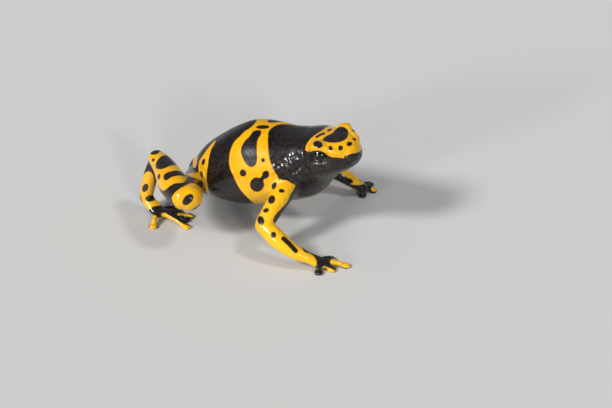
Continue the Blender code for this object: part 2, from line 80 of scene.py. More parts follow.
def smoothstep(low: float, high: float, value: np.ndarray) -> np.ndarray:
    """A smooth rise from 0 at low to 1 at high.

    Args:
        low: Where the rise starts.
        high: Where the rise ends.
        value: What is measured.

    Returns:
        Shares from 0 to 1.
    """
    share = np.clip((value - low) / (high - low), 0.0, 1.0)
    return share * share * (3.0 - 2.0 * share)


def bell(value: np.ndarray, at: float, width: float) -> np.ndarray:
    """A smooth bump that is 1 where the value is at and fades over a width."""
    return np.exp(-((value - at) / width) ** 2)


def unit(vector: np.ndarray) -> np.ndarray:
    """The vector's direction, at a length of 1."""
    return vector / np.linalg.norm(vector)


def unit_rows(rows: np.ndarray) -> np.ndarray:
    """The direction of each row, at a length of 1."""
    return rows / np.linalg.norm(rows, axis=1)[:, None]


def direction(azimuth: float, elevation: float) -> np.ndarray:
    """The way to a place around the frog: degrees from its right side, and above the floor."""
    a, e = math.radians(azimuth), math.radians(elevation)
    return np.array([math.sin(a) * math.cos(e), -math.cos(a) * math.cos(e), math.sin(e)])


def turned(yaw: float, pitch: float, roll: float) -> np.ndarray:
    """Forward, left and up as rows, after a yaw, a pitch up and a roll in degrees.

    Args:
        yaw: The turn about Z.
        pitch: The turn upwards.
        roll: The turn about the way forward.

    Returns:
        The three directions.
    """
    turn = Matrix.Rotation(math.radians(yaw), 3, "Z")
    turn = turn @ Matrix.Rotation(math.radians(-pitch), 3, "Y")
    turn = turn @ Matrix.Rotation(math.radians(roll), 3, "X")
    return np.array(turn).T


def between(start: tuple, end: tuple, share: float, lift: tuple = (0.0, 0.0, 0.0)) -> np.ndarray:
    """A point part of the way from start to end, moved by lift."""
    start, end = np.array(start, float), np.array(end, float)
    return start + (end - start) * share + np.array(lift, float)


def curve_through(rows: np.ndarray, steps: int, closed: bool = False) -> np.ndarray:
    """A Catmull-Rom curve through all the rows.

    Args:
        rows: One row of values for each given point.
        steps: How many pieces each stretch is cut into.
        closed: Whether the last row joins the first.

    Returns:
        The rows of the finer curve.
    """
    rows = np.asarray(rows, float)
    if closed:
        padded = np.concatenate([rows[-1:], rows, rows[:2]])
    else:
        padded = np.concatenate([rows[:1], rows, rows[-1:]])
    result = []
    for a, b, c, d in zip(padded, padded[1:], padded[2:], padded[3:]):
        for step in range(steps):
            t = step / steps
            bend = 2 * a - 5 * b + 4 * c - d
            curl = 3 * b - a - 3 * c + d
            result.append(0.5 * (2 * b + (c - a) * t + bend * t * t + curl * t ** 3))
    if not closed:
        result.append(rows[-1])
    return np.array(result)


@dataclass
class Ring:
    """One cross-section of a limb or trunk, in millimetres."""

    at: tuple
    wide: float
    up: float
    down: float
    square: float = 2.0
    along: np.ndarray = None
    top: np.ndarray = None


@dataclass
class Form:
    """A closed mesh given by its points and faces, in millimetres."""

    points: np.ndarray
    faces: list

    def tree(self) -> BVHTree:
        """A search tree of its faces."""
        return BVHTree.FromPolygons([tuple(p) for p in self.points], self.faces)


def joined(forms: list) -> Form:
    """Several forms in one list of points and faces.

    Args:
        forms: The forms.

    Returns:
        One form that holds them all.
    """
    points, faces, start = [], [], 0
    for form in forms:
        points.append(form.points)
        faces.extend(tuple(i + start for i in face) for face in form.faces)
        start += len(form.points)
    return Form(np.concatenate(points), faces)


def rows_of_faces(rows: int, sides: int) -> list:
    """The faces between rows of points that each go once around, and the two ends.

    Args:
        rows: How many rows there are.
        sides: How many points each row has.

    Returns:
        The faces, each as the numbers of its points.
    """
    faces = []
    for row in range(0, (rows - 1) * sides, sides):
        for j in range(sides):
            n = (j + 1) % sides
            faces.append((row + j, row + n, row + sides + n, row + sides + j))
    faces.append(tuple(reversed(range(sides))))
    faces.append(tuple(range((rows - 1) * sides, rows * sides)))
    return faces


@dataclass
class Loft:
    """A smooth closed form over cross-sections, with half-ball ends."""

    rings: list
    top: tuple = (0.0, 0.0, 1.0)
    sides: int = 32
    steps: int = 5
    start_round: float = 1.0
    end_round: float = 1.0
    end_rings: int = 5
    last_angle: float = 88.0

    @staticmethod
    def mixed(near: np.ndarray, far: np.ndarray, share: float) -> np.ndarray:
        """A direction between those of two sections, or None where they give none.

        Args:
            near: The section's direction on this side.
            far: The direction of the section beyond.
            share: How far the place lies towards the far one.

        Returns:
            The direction, or None.
        """
        if near is None or (far is None and share > 0):
            return None
        return near if share == 0 else near * (1 - share) + far * share

    def fine_rings(self) -> list:
        """The sections with more between them, on a curve through all of them.

        Returns:
            The sections, each with the direction it faces.
        """
        rows = [[*r.at, r.wide, r.up, r.down, r.square] for r in self.rings]
        given = [*self.rings, self.rings[-1]]
        result = []
        for k, row in enumerate(curve_through(np.array(rows), self.steps)):
            near, far = given[k // self.steps], given[k // self.steps + 1]
            share = (k % self.steps) / self.steps
            along = self.mixed(near.along, far.along, share)
            result.append(Ring(row[:3], *row[3:], along, self.mixed(near.top, far.top, share)))
        for k, ring in enumerate(result):
            if ring.along is None:
                ring.along = result[min(k + 1, len(result) - 1)].at - result[max(k - 1, 0)].at
            ring.along = unit(ring.along)
        return result

    def dome(self, ring: Ring, outward: np.ndarray, roundness: float) -> list:
        """Smaller and smaller sections that close an end as part of a ball.

        Args:
            ring: The section at the end.
            outward: The way out of the form there.
            roundness: The end's depth in shares of a half ball's.

        Returns:
            The sections, from the end outwards.
        """
        depth = roundness * (ring.wide + 0.5 * (ring.up + ring.down)) / 2
        result = []
        for k in range(1, self.end_rings + 1):
            angle = math.radians(self.last_angle * k / self.end_rings)
            small = math.cos(angle)
            result.append(replace(
                ring,
                at=ring.at + outward * depth * math.sin(angle),
                wide=ring.wide * small,
                up=ring.up * small,
                down=ring.down * small,
            ))
        return result

    def form(self) -> Form:
        """The points and faces of the closed form.

        Returns:
            The form.
        """
        rings = self.fine_rings()
        first = self.dome(rings[0], -rings[0].along, self.start_round)
        last = self.dome(rings[-1], rings[-1].along, self.end_round)
        rings = list(reversed(first)) + rings + last
        angles = np.linspace(0, 2 * math.pi, self.sides, endpoint=False)
        c, s = np.cos(angles), np.sin(angles)
        points = []
        for ring in rings:
            top = np.array(self.top, float) if ring.top is None else ring.top
            side = unit(np.cross(top, ring.along))
            over = np.cross(ring.along, side)
            power = 2.0 / ring.square
            across = np.sign(c) * np.abs(c) ** power * ring.wide
            rise = np.sign(s) * np.abs(s) ** power * np.where(s > 0, ring.up, ring.down)
            points.append(ring.at + np.outer(across, side) + np.outer(rise, over))
        return Form(np.concatenate(points), rows_of_faces(len(rings), self.sides))


def tube(points: tuple, sizes: tuple, **shape: object) -> Form:
    """A closed form through points, with a half width and half height at each."""
    rings = [Ring(at, wide, tall, tall) for at, (wide, tall) in zip(points, sizes)]
    return Loft(rings, **shape).form()


def ball(centre: np.ndarray, axes: np.ndarray, radii: tuple, turns: int = 28) -> Form:
    """An ellipsoid whose radii lie along the rows of axes.

    Args:
        centre: Its middle.
        axes: Three directions as rows.
        radii: The radius along each of them.
        turns: How many points go around it.

    Returns:
        The closed form.
    """
    centre, axes = np.array(centre, float), np.array(axes, float)
    points, faces = [], []
    rows = turns // 2
    for i in range(rows + 1):
        polar = math.pi * (i + 0.02) / (rows + 0.04)
        for j in range(turns):
            around = 2 * math.pi * j / turns
            unit = (
                math.sin(polar) * math.cos(around),
                math.sin(polar) * math.sin(around),
                math.cos(polar),
            )
            points.append(centre + (np.array(unit) * radii) @ axes)
    for i in range(rows):
        for j in range(turns):
            n = (j + 1) % turns
            faces.append((i * turns + j, (i + 1) * turns + j, (i + 1) * turns + n, i * turns + n))
    faces.append(tuple(range(turns)))
    faces.append(tuple(reversed(range(rows * turns, (rows + 1) * turns))))
    return Form(np.array(points), faces)


@dataclass
class PhotoCamera:
    """The pinhole camera of the photo, in the frog's axes."""

    azimuth: float = 19.0
    elevation: float = 32.0
    roll: float = 2.5
    distance_mm: float = 420.0
    pixels_per_mm: float = 5.26
    target_mm: tuple = (0.0, 0.0, 9.5)
    target_pixel: tuple = (252.0, 166.0)

    def __post_init__(self) -> None:
        """Works out the view's axes and where the camera stands."""
        a, r = math.radians(self.azimuth), math.radians(self.roll)
        self.back = direction(self.azimuth, self.elevation)
        level = np.array([math.cos(a), math.sin(a), 0.0])
        upright = np.cross(self.back, level)
        self.right = math.cos(r) * level + math.sin(r) * upright
        self.up = -math.sin(r) * level + math.cos(r) * upright
        self.focal_pixels = self.pixels_per_mm * self.distance_mm
        off_x = (self.target_pixel[0] - PHOTO_WIDTH / 2) / self.pixels_per_mm
        off_y = -(self.target_pixel[1] - PHOTO_HEIGHT / 2) / self.pixels_per_mm
        self.eye = (
            np.array(self.target_mm) + self.back * self.distance_mm
            - self.right * off_x - self.up * off_y
        )

    def pixels(self, points: np.ndarray) -> np.ndarray:
        """Where points in millimetres fall in the photo.

        Args:
            points: Rows of x, y and z.

        Returns:
            Rows of x and y in the photo's pixels.
        """
        away = points - self.eye
        depth = -(away @ self.back)
        x = PHOTO_WIDTH / 2 + self.focal_pixels * (away @ self.right) / depth
        y = PHOTO_HEIGHT / 2 - self.focal_pixels * (away @ self.up) / depth
        return np.stack([x, y], axis=1)


@dataclass
class Stretch:
    """One straight stretch of a limb, by which places are carried from limb to limb."""

    start: tuple
    end: tuple
    side: Side

    def __post_init__(self) -> None:
        """Works out the stretch's own directions: along it, outward and up."""
        self.start = np.array(self.start, float)
        way = np.array(self.end, float) - self.start
        self.length = np.linalg.norm(way)
        along = way / self.length
        top = unit(np.array([0.0, 0.0, 1.0]) - along[2] * along)
        self.axes = np.stack([along, np.cross(along, top) * self.side.value, top])

    def carried(self, points: np.ndarray, normals: np.ndarray, other: "Stretch") -> tuple:
        """Places on this stretch as places on its fellow of the other side.

        Args:
            points: Rows of x, y and z on this stretch.
            normals: The normals there.
            other: The stretch of the other side.

        Returns:
            The matching points and normals.
        """
        local = (points - self.start) @ self.axes.T
        local[:, 0] *= other.length / self.length
        return other.start + local @ other.axes, normals @ self.axes.T @ other.axes


@dataclass
class Trunk:
    """The trunk from the vent to the neck."""

    # x, y, z, half width, back, belly, squareness
    line: tuple = (
        (-10.4, -0.5, 6.6, 3.8, 2.6, 3.6, 2.2),
        (-8.8, -0.5, 7.1, 5.1, 4.1, 4.5, 2.3),
        (-6.0, -0.5, 8.1, 6.5, 5.7, 5.6, 2.3),
        (-2.0, -0.4, 9.4, 7.5, 7.4, 6.9, 2.2),
        (2.5, -0.3, 11.0, 7.9, 8.35, 7.5, 2.1),
        (6.8, -0.2, 12.7, 7.3, 7.25, 7.8, 2.1),
        (10.0, -0.1, 14.3, 6.3, 5.7, 8.0, 2.2),
    )
    neck_at: tuple = (12.9, 0.1, 16.1)
    neck_turn: tuple = (-21.0, 20.0, 6.0)
    neck_half_width: float = 5.6
    neck_back: float = 4.2
    neck_throat: float = 6.6
    neck_square: float = 2.3

    def neck_ring(self, ahead: float, size: float = 1.0) -> Ring:
        """The section where the head begins, moved ahead along the neck.

        Args:
            ahead: How far, in millimetres.
            size: The section's scale.

        Returns:
            The section.
        """
        along, _, top = turned(*self.neck_turn)
        at = np.array(self.neck_at) + along * ahead
        sizes = (self.neck_half_width, self.neck_back, self.neck_throat)
        return Ring(at, *(size * s for s in sizes), self.neck_square, along, top)

    def form(self) -> Form:
        """The closed form of the trunk.

        Returns:
            The form.
        """
        rings = [Ring(row[:3], *row[3:]) for row in self.line]
        rings.append(self.neck_ring(0.0))
        return Loft(rings, sides=72, steps=8, start_round=0.55, end_round=0.9).form()

    def middle(self, x: np.ndarray) -> np.ndarray:
        """The middle line's y and z at each x.

        Args:
            x: Places along the trunk.

        Returns:
            Rows of y and z.
        """
        rows = np.array([row[:3] for row in self.line] + [self.neck_at])
        return np.stack([
            np.interp(x, rows[:, 0], rows[:, 1]), np.interp(x, rows[:, 0], rows[:, 2])
        ], axis=1)


@dataclass
class Head:
    """The head with its jaw, lids, nostrils and eardrums."""

    trunk: Trunk
    at: tuple = (16.62, -2.26, 19.66)
    turn: tuple = (-30.0, 17.5, 11.0)
    # how far ahead of the neck's place the first sections lie, and their size
    neck: tuple = ((-2.0, 0.96), (0.3, 1.0))
    # forward, half width, top, bottom, squareness
    sections: tuple = (
        (-3.4, 5.50, 2.10, -7.3, 2.3),
        (-1.6, 5.40, 2.10, -6.6, 2.4),
        (0.2, 5.05, 1.95, -5.8, 2.5),
        (1.9, 4.50, 1.70, -5.1, 2.6),
        (3.3, 3.68, 1.40, -4.55, 2.7),
        (4.4, 2.78, 1.05, -4.05, 2.6),
        (5.0, 2.12, 0.70, -3.50, 2.5),
        (5.22, 1.55, 0.25, -2.95, 2.3),
    )
    # The line of the mouth from the snout to its corner: forward and up.
    mouth: tuple = (
        (8.0, -2.15), (5.6, -2.3), (3.8, -2.8), (1.8, -3.2), (-0.6, -3.5), (-2.4, -4.1),
    )
    eye_at: tuple = (0.15, 3.35, -0.42)
    eye_radius: float = 1.85
    eye_look: tuple = (0.60, 0.74, 0.30)
    eye_tilt: float = 14.0
    brow: float = 0.25
    dome_shape: tuple = (1.05, 1.04)
    ridge_at: tuple = (2.80, 3.04, 0.54)
    ridge_way: tuple = (0.865, -0.37, -0.34)
    ridge_size: tuple = (2.6, 0.72, 0.70)
    lid_thickness: float = 0.42
    nostril_at: tuple = (5.20, 1.65, -1.10)
    ear_at: tuple = (-2.3, 5.30, -2.9)
    ear_look: tuple = (-0.10, 1.0, 0.05)
    ear_radius: float = 0.85

    def __post_init__(self) -> None:
        """Works out the head's own axes."""
        self.axes = turned(*self.turn)

    def point(self, forward: float, out: float, up: float, side: Side) -> np.ndarray:
        """A point given from the middle between the eyes."""
        return np.array(self.at) + np.array([forward, out * side.value, up]) @ self.axes

    def local(self, points: np.ndarray) -> np.ndarray:
        """Forward, left and up of points, from the middle between the eyes."""
        return (points - np.array(self.at)) @ self.axes.T

    def way(self, look: tuple, side: Side) -> np.ndarray:
        """A direction given as forward, outward and up."""
        forward, out, up = look
        return unit(np.array([forward, out * side.value, up]) @ self.axes)

    def eye_place(self, side: Side) -> tuple:
        """The centre of an eye and its axes: along the lids, up and outward.

        Args:
            side: Which eye.

        Returns:
            The centre, and the axes as rows.
        """
        look = self.way(self.eye_look, side)
        level = unit(np.cross(self.axes[2], look))
        tilt = math.radians(self.eye_tilt) * side.value
        along = level * math.cos(tilt) + np.cross(look, level) * math.sin(tilt)
        return self.point(*self.eye_at, side), np.stack([along, np.cross(look, along), look])

    def ear_place(self, side: Side) -> tuple:
        """The centre of an eardrum and its axes, the last one facing out.

        Args:
            side: Which eardrum.

        Returns:
            The centre, and the axes as rows.
        """
        out = self.way(self.ear_look, side)
        along = unit(np.cross(self.axes[2], out))
        return self.point(*self.ear_at, side), np.stack([along, np.cross(out, along), out])

    def ridge_place(self, side: Side) -> tuple:
        """The middle of the ridge from an eye to the nostril, and its axes along it.

        Args:
            side: Which ridge.

        Returns:
            The middle, and the axes as rows.
        """
        along = self.way(self.ridge_way, side)
        across = unit(np.cross(self.axes[2], along))
        return self.point(*self.ridge_at, side), np.stack([along, across, np.cross(along, across)])

    def forms(self) -> list:
        """The head's closed forms.

        Returns:
            The skull with its throat, and for each side the eye's dome and the ridge.
        """
        rings = [self.trunk.neck_ring(ahead, size) for ahead, size in self.neck]
        for ahead, wide, top, bottom, square in self.sections:
            middle, half = (top + bottom) / 2, (top - bottom) / 2
            at = self.point(ahead, 0.0, middle, Side.LEFT)
            rings.append(Ring(at, wide, half, half, square, self.axes[0], self.axes[2]))
        loft = Loft(rings, self.axes[2], sides=72, steps=8, start_round=0.2, end_round=0.45)
        forms = [loft.form()]
        dome = self.eye_radius + self.lid_thickness
        length, depth = (dome * share for share in self.dome_shape)
        for side in Side:
            centre, _ = self.eye_place(side)
            out = self.axes[1] * side.value
            upright = np.stack([np.cross(self.axes[2], out), self.axes[2], out])
            middle = centre + self.axes[2] * self.brow
            forms.append(ball(middle, upright, (length, dome + self.brow, depth), 40))
            forms.append(ball(*self.ridge_place(side), self.ridge_size, 32))
        return forms

    def mouth_height(self, forward: np.ndarray) -> np.ndarray:
        """How high the mouth's line is at a distance forward of the eyes."""
        line = np.array(sorted(self.mouth))
        return np.interp(forward, line[:, 0], line[:, 1])


@dataclass
class Digit:
    """A finger or toe with the broad disc at its tip."""

    root: np.ndarray
    tip: tuple
    lift: float
    radius: float = 0.54
    root_radius: float = 0.66
    # share of the way to the tip, share of the radius
    shaft: tuple = ((0.2, 1.02), (0.35, 1.06), (0.52, 0.88), (0.68, 0.92))
    shaft_height: float = 0.40
    arch_end: float = 0.8
    # way back from the tip, half width, half height
    disc: tuple = ((1.30, 0.486, 0.38), (0.80, 0.82, 0.46), (0.28, 0.779, 0.40))
    disc_height: float = 0.30

    def form(self) -> Form:
        """The closed form of the digit, lying on the floor at its disc.

        Returns:
            The form.
        """
        way = np.array([self.tip[0] - self.root[0], self.tip[1] - self.root[1], 0.0])
        reach = np.linalg.norm(way)
        way = way / reach
        rows = [(share, thick * self.radius) for share, thick in self.shaft]
        rings = []
        for share, thick in [(0.0, self.root_radius), *rows]:
            arch = self.lift * math.sin(math.pi * min(share / self.arch_end, 1))
            at = self.root + way * reach * share
            at[2] = (1 - share) * self.root[2] + share * self.shaft_height + arch
            rings.append(Ring(at, thick, thick, thick))
        tip = np.array([*self.tip, self.disc_height])
        rings += [Ring(tip - way * back, wide, tall, tall) for back, wide, tall in self.disc]
        return Loft(rings, sides=20, steps=4, end_round=0.7).form()

    def stretch(self, side: Side) -> Stretch:
        """The line from its root to its tip."""
        return Stretch(self.root, (*self.tip, self.disc_height), side)


@dataclass
class Limb:
    """What fore and hind limbs share: joints in a row, and digits on the last pad."""

    side: Side
    joints: tuple
    tips: tuple
    root_height: float = 1.0
    digit_name: ClassVar[str]
    digit_start: ClassVar[float]
    digit_arch: ClassVar[float]
    pad: ClassVar[dict] = {"sides": 28, "steps": 5, "start_round": 0.8, "end_round": 0.8}

    def flesh(self) -> dict:
        """The form of each stretch by its part's name, from the trunk outwards."""
        raise NotImplementedError

    def digits(self) -> list:
        """The digits, from the inner one outwards.

        Returns:
            The digits.
        """
        result = []
        for tip in self.tips:
            root = between(self.joints[-1], (*tip, 0.0), self.digit_start)
            root[2] = self.root_height
            result.append(Digit(root, tip, self.digit_arch))
        return result

    def parts(self) -> dict:
        """Each part's form and the stretch it lies along, by the part's name.

        Returns:
            A form and a stretch for each name.
        """
        result = {}
        for (name, form), start, end in zip(self.flesh().items(), self.joints, self.joints[1:]):
            result[name] = (form, Stretch(start, end, self.side))
        for k, digit in enumerate(self.digits()):
            result[f"{self.digit_name}_{k}"] = (digit.form(), digit.stretch(self.side))
        return result


@dataclass
class Arm(Limb):
    """One fore limb: upper arm, forearm and hand."""

    digit_name: ClassVar[str] = "finger"
    digit_start: ClassVar[float] = 0.10
    digit_arch: ClassVar[float] = 0.25

    def flesh(self) -> dict:
        """The upper arm, the forearm that swells below the elbow, and the palm.

        Returns:
            The form of each stretch by its part's name.
        """
        shoulder, elbow, wrist, palm = self.joints
        top, out = (0.0, 0.35 * self.side.value, 1.0), 0.6 * self.side.value
        upper = (shoulder, between(shoulder, elbow, 0.45, (0.1, 0, 0.3)), elbow)
        fore = (
            between(elbow, wrist, 0.02),
            between(elbow, wrist, 0.35, (0.05, out, -0.2)),
            between(elbow, wrist, 0.72, (-0.1, out, -0.2)),
            wrist,
        )
        hand = (
            between(wrist, palm, -0.6),
            between(wrist, palm, 0.5),
            palm,
            between(wrist, palm, 1.45, (0, 0, 0.2)),
        )
        upper_sizes = ((2.5, 2.6), (2.05, 2.1), (1.65, 1.65))
        fore_sizes = ((1.6, 1.6), (1.75, 1.7), (1.45, 1.4), (1.25, 1.2))
        hand_sizes = ((1.05, 0.95), (1.35, 0.95), (1.55, 0.9), (1.2, 0.7))
        return {
            "upper_arm": tube(upper, upper_sizes, top=top, sides=36, steps=8),
            "forearm": tube(fore, fore_sizes, top=top, sides=36, steps=6),
            "palm": tube(hand, hand_sizes, **self.pad),
        }


@dataclass
class Leg(Limb):
    """One hind limb: thigh, shank, tarsus and foot."""

    digit_name: ClassVar[str] = "toe"
    digit_start: ClassVar[float] = 0.06
    digit_arch: ClassVar[float] = 0.35

    def flesh(self) -> dict:
        """The thigh, the shank with its calf, the long ankle and the sole.

        Returns:
            The form of each stretch by its part's name.
        """
        hip, knee, heel, ankle, sole = self.joints
        top, out = (0.0, -0.3 * self.side.value, 1.0), 0.3 * self.side.value
        thigh = (hip, between(hip, knee, 0.5, (-0.3, 0, 0.2)), knee)
        shank = (
            between(knee, heel, 0.0, (-1.2, out, 0.0)),
            between(knee, heel, 0.38, (-0.6, out, -0.2)),
            between(knee, heel, 0.75),
            heel,
        )
        tarsus = (heel, between(heel, ankle, 0.45, (-0.3, 0, 0)), ankle)
        foot = (
            between(ankle, sole, -0.05, (0, 0, -0.1)),
            between(ankle, sole, 0.5, (0, 0, -0.1)),
            sole,
            between(ankle, sole, 1.35, (0, 0, 0.55)),
        )
        thigh_sizes = ((2.5, 2.8), (2.35, 2.6), (2.45, 2.4))
        shank_sizes = ((2.3, 2.3), (2.75, 2.75), (2.2, 2.2), (1.75, 1.7))
        tarsus_sizes = ((1.35, 1.35), (1.35, 1.4), (1.35, 1.3))
        foot_sizes = ((1.2, 1.15), (1.35, 1.0), (1.5, 0.85), (1.2, 0.7))
        return {
            "thigh": tube(thigh, thigh_sizes, top=top, sides=40, steps=8, end_round=0.9),
            "shank": tube(shank, shank_sizes, top=top, sides=40, steps=6),
            "tarsus": tube(tarsus, tarsus_sizes, top=(1.0, 0.0, 0.1), sides=32, steps=8),
            "sole": tube(foot, foot_sizes, **self.pad),
        }


@dataclass
class Frog:
    """All forms of the frog, and its place in the frame."""

    trunk: Trunk = field(default_factory=Trunk)

    def __post_init__(self) -> None:
        """Makes the head and the limbs, and finds the shift into the frame."""
        self.head = Head(self.trunk)
        self.arms = (
            Arm(
                Side.RIGHT,
                ((9.4, -4.8, 11.0), (7.6, -13.3, 5.9), (16.5, -14.8, 2.2), (18.9, -14.0, 1.15)),
                ((20.6, -10.3), (24.2, -11.6), (22.3, -14.2), (20.0, -16.6)),
            ),
            Arm(
                Side.LEFT,
                ((9.2, 4.0, 11.2), (7.9, 11.3, 6.8), (16.7, 13.2, 2.3), (17.7, 14.3, 1.15)),
                ((18.6, 12.2), (20.2, 15.6), (18.5, 17.7), (15.2, 17.0)),
            ),
        )
        self.legs = (
            Leg(
                Side.RIGHT,
                (
                    (-9.7, -4.3, 6.4), (-6.1, -16.3, 10.1), (-16.8, -6.5, 10.6),
                    (-18.2, -8.5, 2.9), (-15.2, -9.8, 1.25),
                ),
                ((-12.2, -5.6), (-8.9, -7.5), (-9.0, -9.2), (-8.0, -11.6), (-14.3, -14.4)),
            ),
            Leg(
                Side.LEFT,
                (
                    (-8.8, 3.0, 6.4), (-1.0, 12.8, 5.6), (-11.5, 5.2, 4.6),
                    (-10.9, 12.2, 2.1), (-7.6, 13.2, 1.25),
                ),
                ((-4.0, 9.4), (-1.2, 11.0), (0.2, 13.2), (0.2, 16.0), (-5.0, 18.0)),
            ),
        )
        low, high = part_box("eye_right")
        centre = np.array((low + high) / 2) / METRES
        self.shift = centre - self.head.eye_place(Side.RIGHT)[0]

    def place(self, points: np.ndarray) -> np.ndarray:
        """Points in the frog's millimetres as points of the frame in metres."""
        return (points + self.shift) * METRES

    def groups(self) -> dict:
        """The forms by the group whose markings they carry.

        Returns:
            A list of forms for each group, which is a part's name and its side.
        """
        result = {
            ("trunk", None): [self.trunk.form()],
            ("head", None): self.head.forms(),
        }
        for limb in (*self.arms, *self.legs):
            for name, (form, _) in limb.parts().items():
                result[name, limb.side] = [form]
        return result

    def stretches(self, side: Side) -> dict:
        """The stretches of one side's limbs by the part's name.

        Args:
            side: Which side.

        Returns:
            A stretch for each name.
        """
        result = {}
        for limb in (*self.arms, *self.legs):
            if limb.side is side:
                for name, (_, stretch) in limb.parts().items():
                    result[name] = stretch
        return result


@dataclass
class Surface:
    """A triangle or quad mesh as arrays, for smoothing and carving, in millimetres."""

    points: np.ndarray
    edges: np.ndarray
    data: bpy.types.Mesh
    # how far a point goes towards its neighbours' mean, and how far back outwards
    inward: float = 0.5
    outward: float = 0.52

    @classmethod
    def of(cls, data: bpy.types.Mesh) -> "Surface":
        """The surface of a mesh, which it keeps to write back to.

        Args:
            data: The mesh.

        Returns:
            The surface.
        """
        points = np.zeros(len(data.vertices) * 3)
        data.vertices.foreach_get("co", points)
        edges = np.zeros(len(data.edges) * 2, np.int64)
        data.edges.foreach_get("vertices", edges)
        return cls(points.reshape(-1, 3), edges.reshape(-1, 2), data)

    @cached_property
    def links(self) -> np.ndarray:
        """How many edges meet at each point, at least 1."""
        return np.maximum(np.bincount(self.edges.ravel(), minlength=len(self.points)), 1)

    def edge_mean(self, to_first: np.ndarray, to_second: np.ndarray) -> np.ndarray:
        """The mean of what the edges bring to their first and second points.

        Args:
            to_first: What each edge brings to its first point.
            to_second: What it brings to its second one.

        Returns:
            One number for each point.
        """
        a, b = self.edges.T
        count = len(self.points)
        return (np.bincount(a, to_first, count) + np.bincount(b, to_second, count)) / self.links

    def mean_of_neighbours(self, values: np.ndarray) -> np.ndarray:
        """The mean of each row's neighbours along the edges."""
        a, b = self.edges.T
        return np.stack([self.edge_mean(column[b], column[a]) for column in values.T], axis=1)

    def smooth(self, rounds: int, share: np.ndarray, keep_volume: bool = False) -> None:
        """Moves points towards their neighbours' mean.

        Args:
            rounds: How many times.
            share: How far each point goes, from 0 to 1.
            keep_volume: Whether each step is followed by one outwards.
        """
        share = share[:, None]
        for _ in range(rounds):
            mean = self.mean_of_neighbours(self.points)
            self.points += (mean - self.points) * self.inward * share
            if keep_volume:
                mean = self.mean_of_neighbours(self.points)
                self.points -= (mean - self.points) * self.outward * share

    def write(self) -> None:
        """Puts the points back into the mesh."""
        self.data.vertices.foreach_set("co", self.points.astype(np.float32).ravel())
        self.data.update()

    def normals(self) -> np.ndarray:
        """The points' normals.

        Returns:
            Rows of x, y and z.
        """
        self.write()
        normals = np.zeros(len(self.points) * 3, np.float32)
        self.data.vertex_normals.foreach_get("vector", normals)
        return normals.reshape(-1, 3).astype(float)

    def slope(self, values: np.ndarray) -> np.ndarray:
        """How fast values change over the surface, per millimetre.

        Args:
            values: One number for each point.

        Returns:
            The rate of change at each point, evened out a little.
        """
        a, b = self.edges.T
        length = np.linalg.norm(self.points[a] - self.points[b], axis=1)
        rate = (np.abs(values[a] - values[b]) / np.maximum(length, 1e-6)) ** 2
        mean = np.sqrt(2 * self.edge_mean(rate, rate))[:, None]
        for _ in range(3):
            mean = 0.5 * mean + 0.5 * self.mean_of_neighbours(mean)
        return mean[:, 0]


def nearest_on_line(line: np.ndarray, at: np.ndarray) -> tuple:
    """Finds the place on a line that is nearest to each point.

    Args:
        line: Rows of the line's corners.
        at: Rows of the points.

    Returns:
        Each point's distance from the line, and the share of the line before that place.
    """
    best, passed, length = np.full(len(at), HUGE), np.zeros(len(at)), 0.0
    for a, b in zip(line, line[1:]):
        step = b - a
        away = at - a
        share = np.clip((away @ step) / max(step @ step, TINY), 0, 1)
        gap = ((away - share[:, None] * step) ** 2).sum(axis=1)
        nearer = gap < best
        best[nearer] = gap[nearer]
        passed[nearer] = length + share[nearer] * np.linalg.norm(step)
        length += np.linalg.norm(step)
    return np.sqrt(best), passed / length


@dataclass(frozen=True)
class Outline:
    """A closed marking drawn over the photo; the points are its pixels."""

    points: tuple
    paint: Paint = Paint.GOLD

    def depth(self, at: np.ndarray) -> np.ndarray:
        """How deep points lie inside, in pixels; negative outside.

        Args:
            at: Rows of pixels.

        Returns:
            One depth for each row.
        """
        outline = curve_through(np.array(self.points, float), 4, closed=True)
        inside = np.zeros(len(at), bool)
        for a, b in zip(outline, np.roll(outline, -1, axis=0)):
            run, rise = b - a
            spans = (a[1] > at[:, 1]) != (b[1] > at[:, 1])
            rise = rise if abs(rise) > TINY else TINY
            inside ^= spans & (at[:, 0] < run * (at[:, 1] - a[1]) / rise + a[0])
        far, _ = nearest_on_line(np.concatenate([outline, outline[:1]]), at)
        return np.where(inside, far, -far)


@dataclass(frozen=True)
class Spot:
    """A round marking: its centre, half width, half height and tilt in the photo."""

    x: float
    y: float
    wide: float
    tall: float
    tilt: float = 0.0
    paint: Paint = Paint.BLACK

    def depth(self, at: np.ndarray) -> np.ndarray:
        """How deep points lie inside, in pixels; negative outside.

        Args:
            at: Rows of pixels.

        Returns:
            One depth for each row.
        """
        angle = math.radians(self.tilt)
        away = at - (self.x, self.y)
        along = away[:, 0] * math.cos(angle) + away[:, 1] * math.sin(angle)
        across = -away[:, 0] * math.sin(angle) + away[:, 1] * math.cos(angle)
        reach = np.sqrt((along / self.wide) ** 2 + (across / self.tall) ** 2)
        return (1.0 - reach) * min(self.wide, self.tall)


@dataclass(frozen=True)
class Stroke:
    """A marking of even width along a line over the photo."""

    points: tuple
    width: float
    paint: Paint = Paint.GOLD

    def depth(self, at: np.ndarray) -> np.ndarray:
        """How deep points lie inside, in pixels; negative outside."""
        far, _ = nearest_on_line(np.array(self.points, float), at)
        return self.width / 2 - far


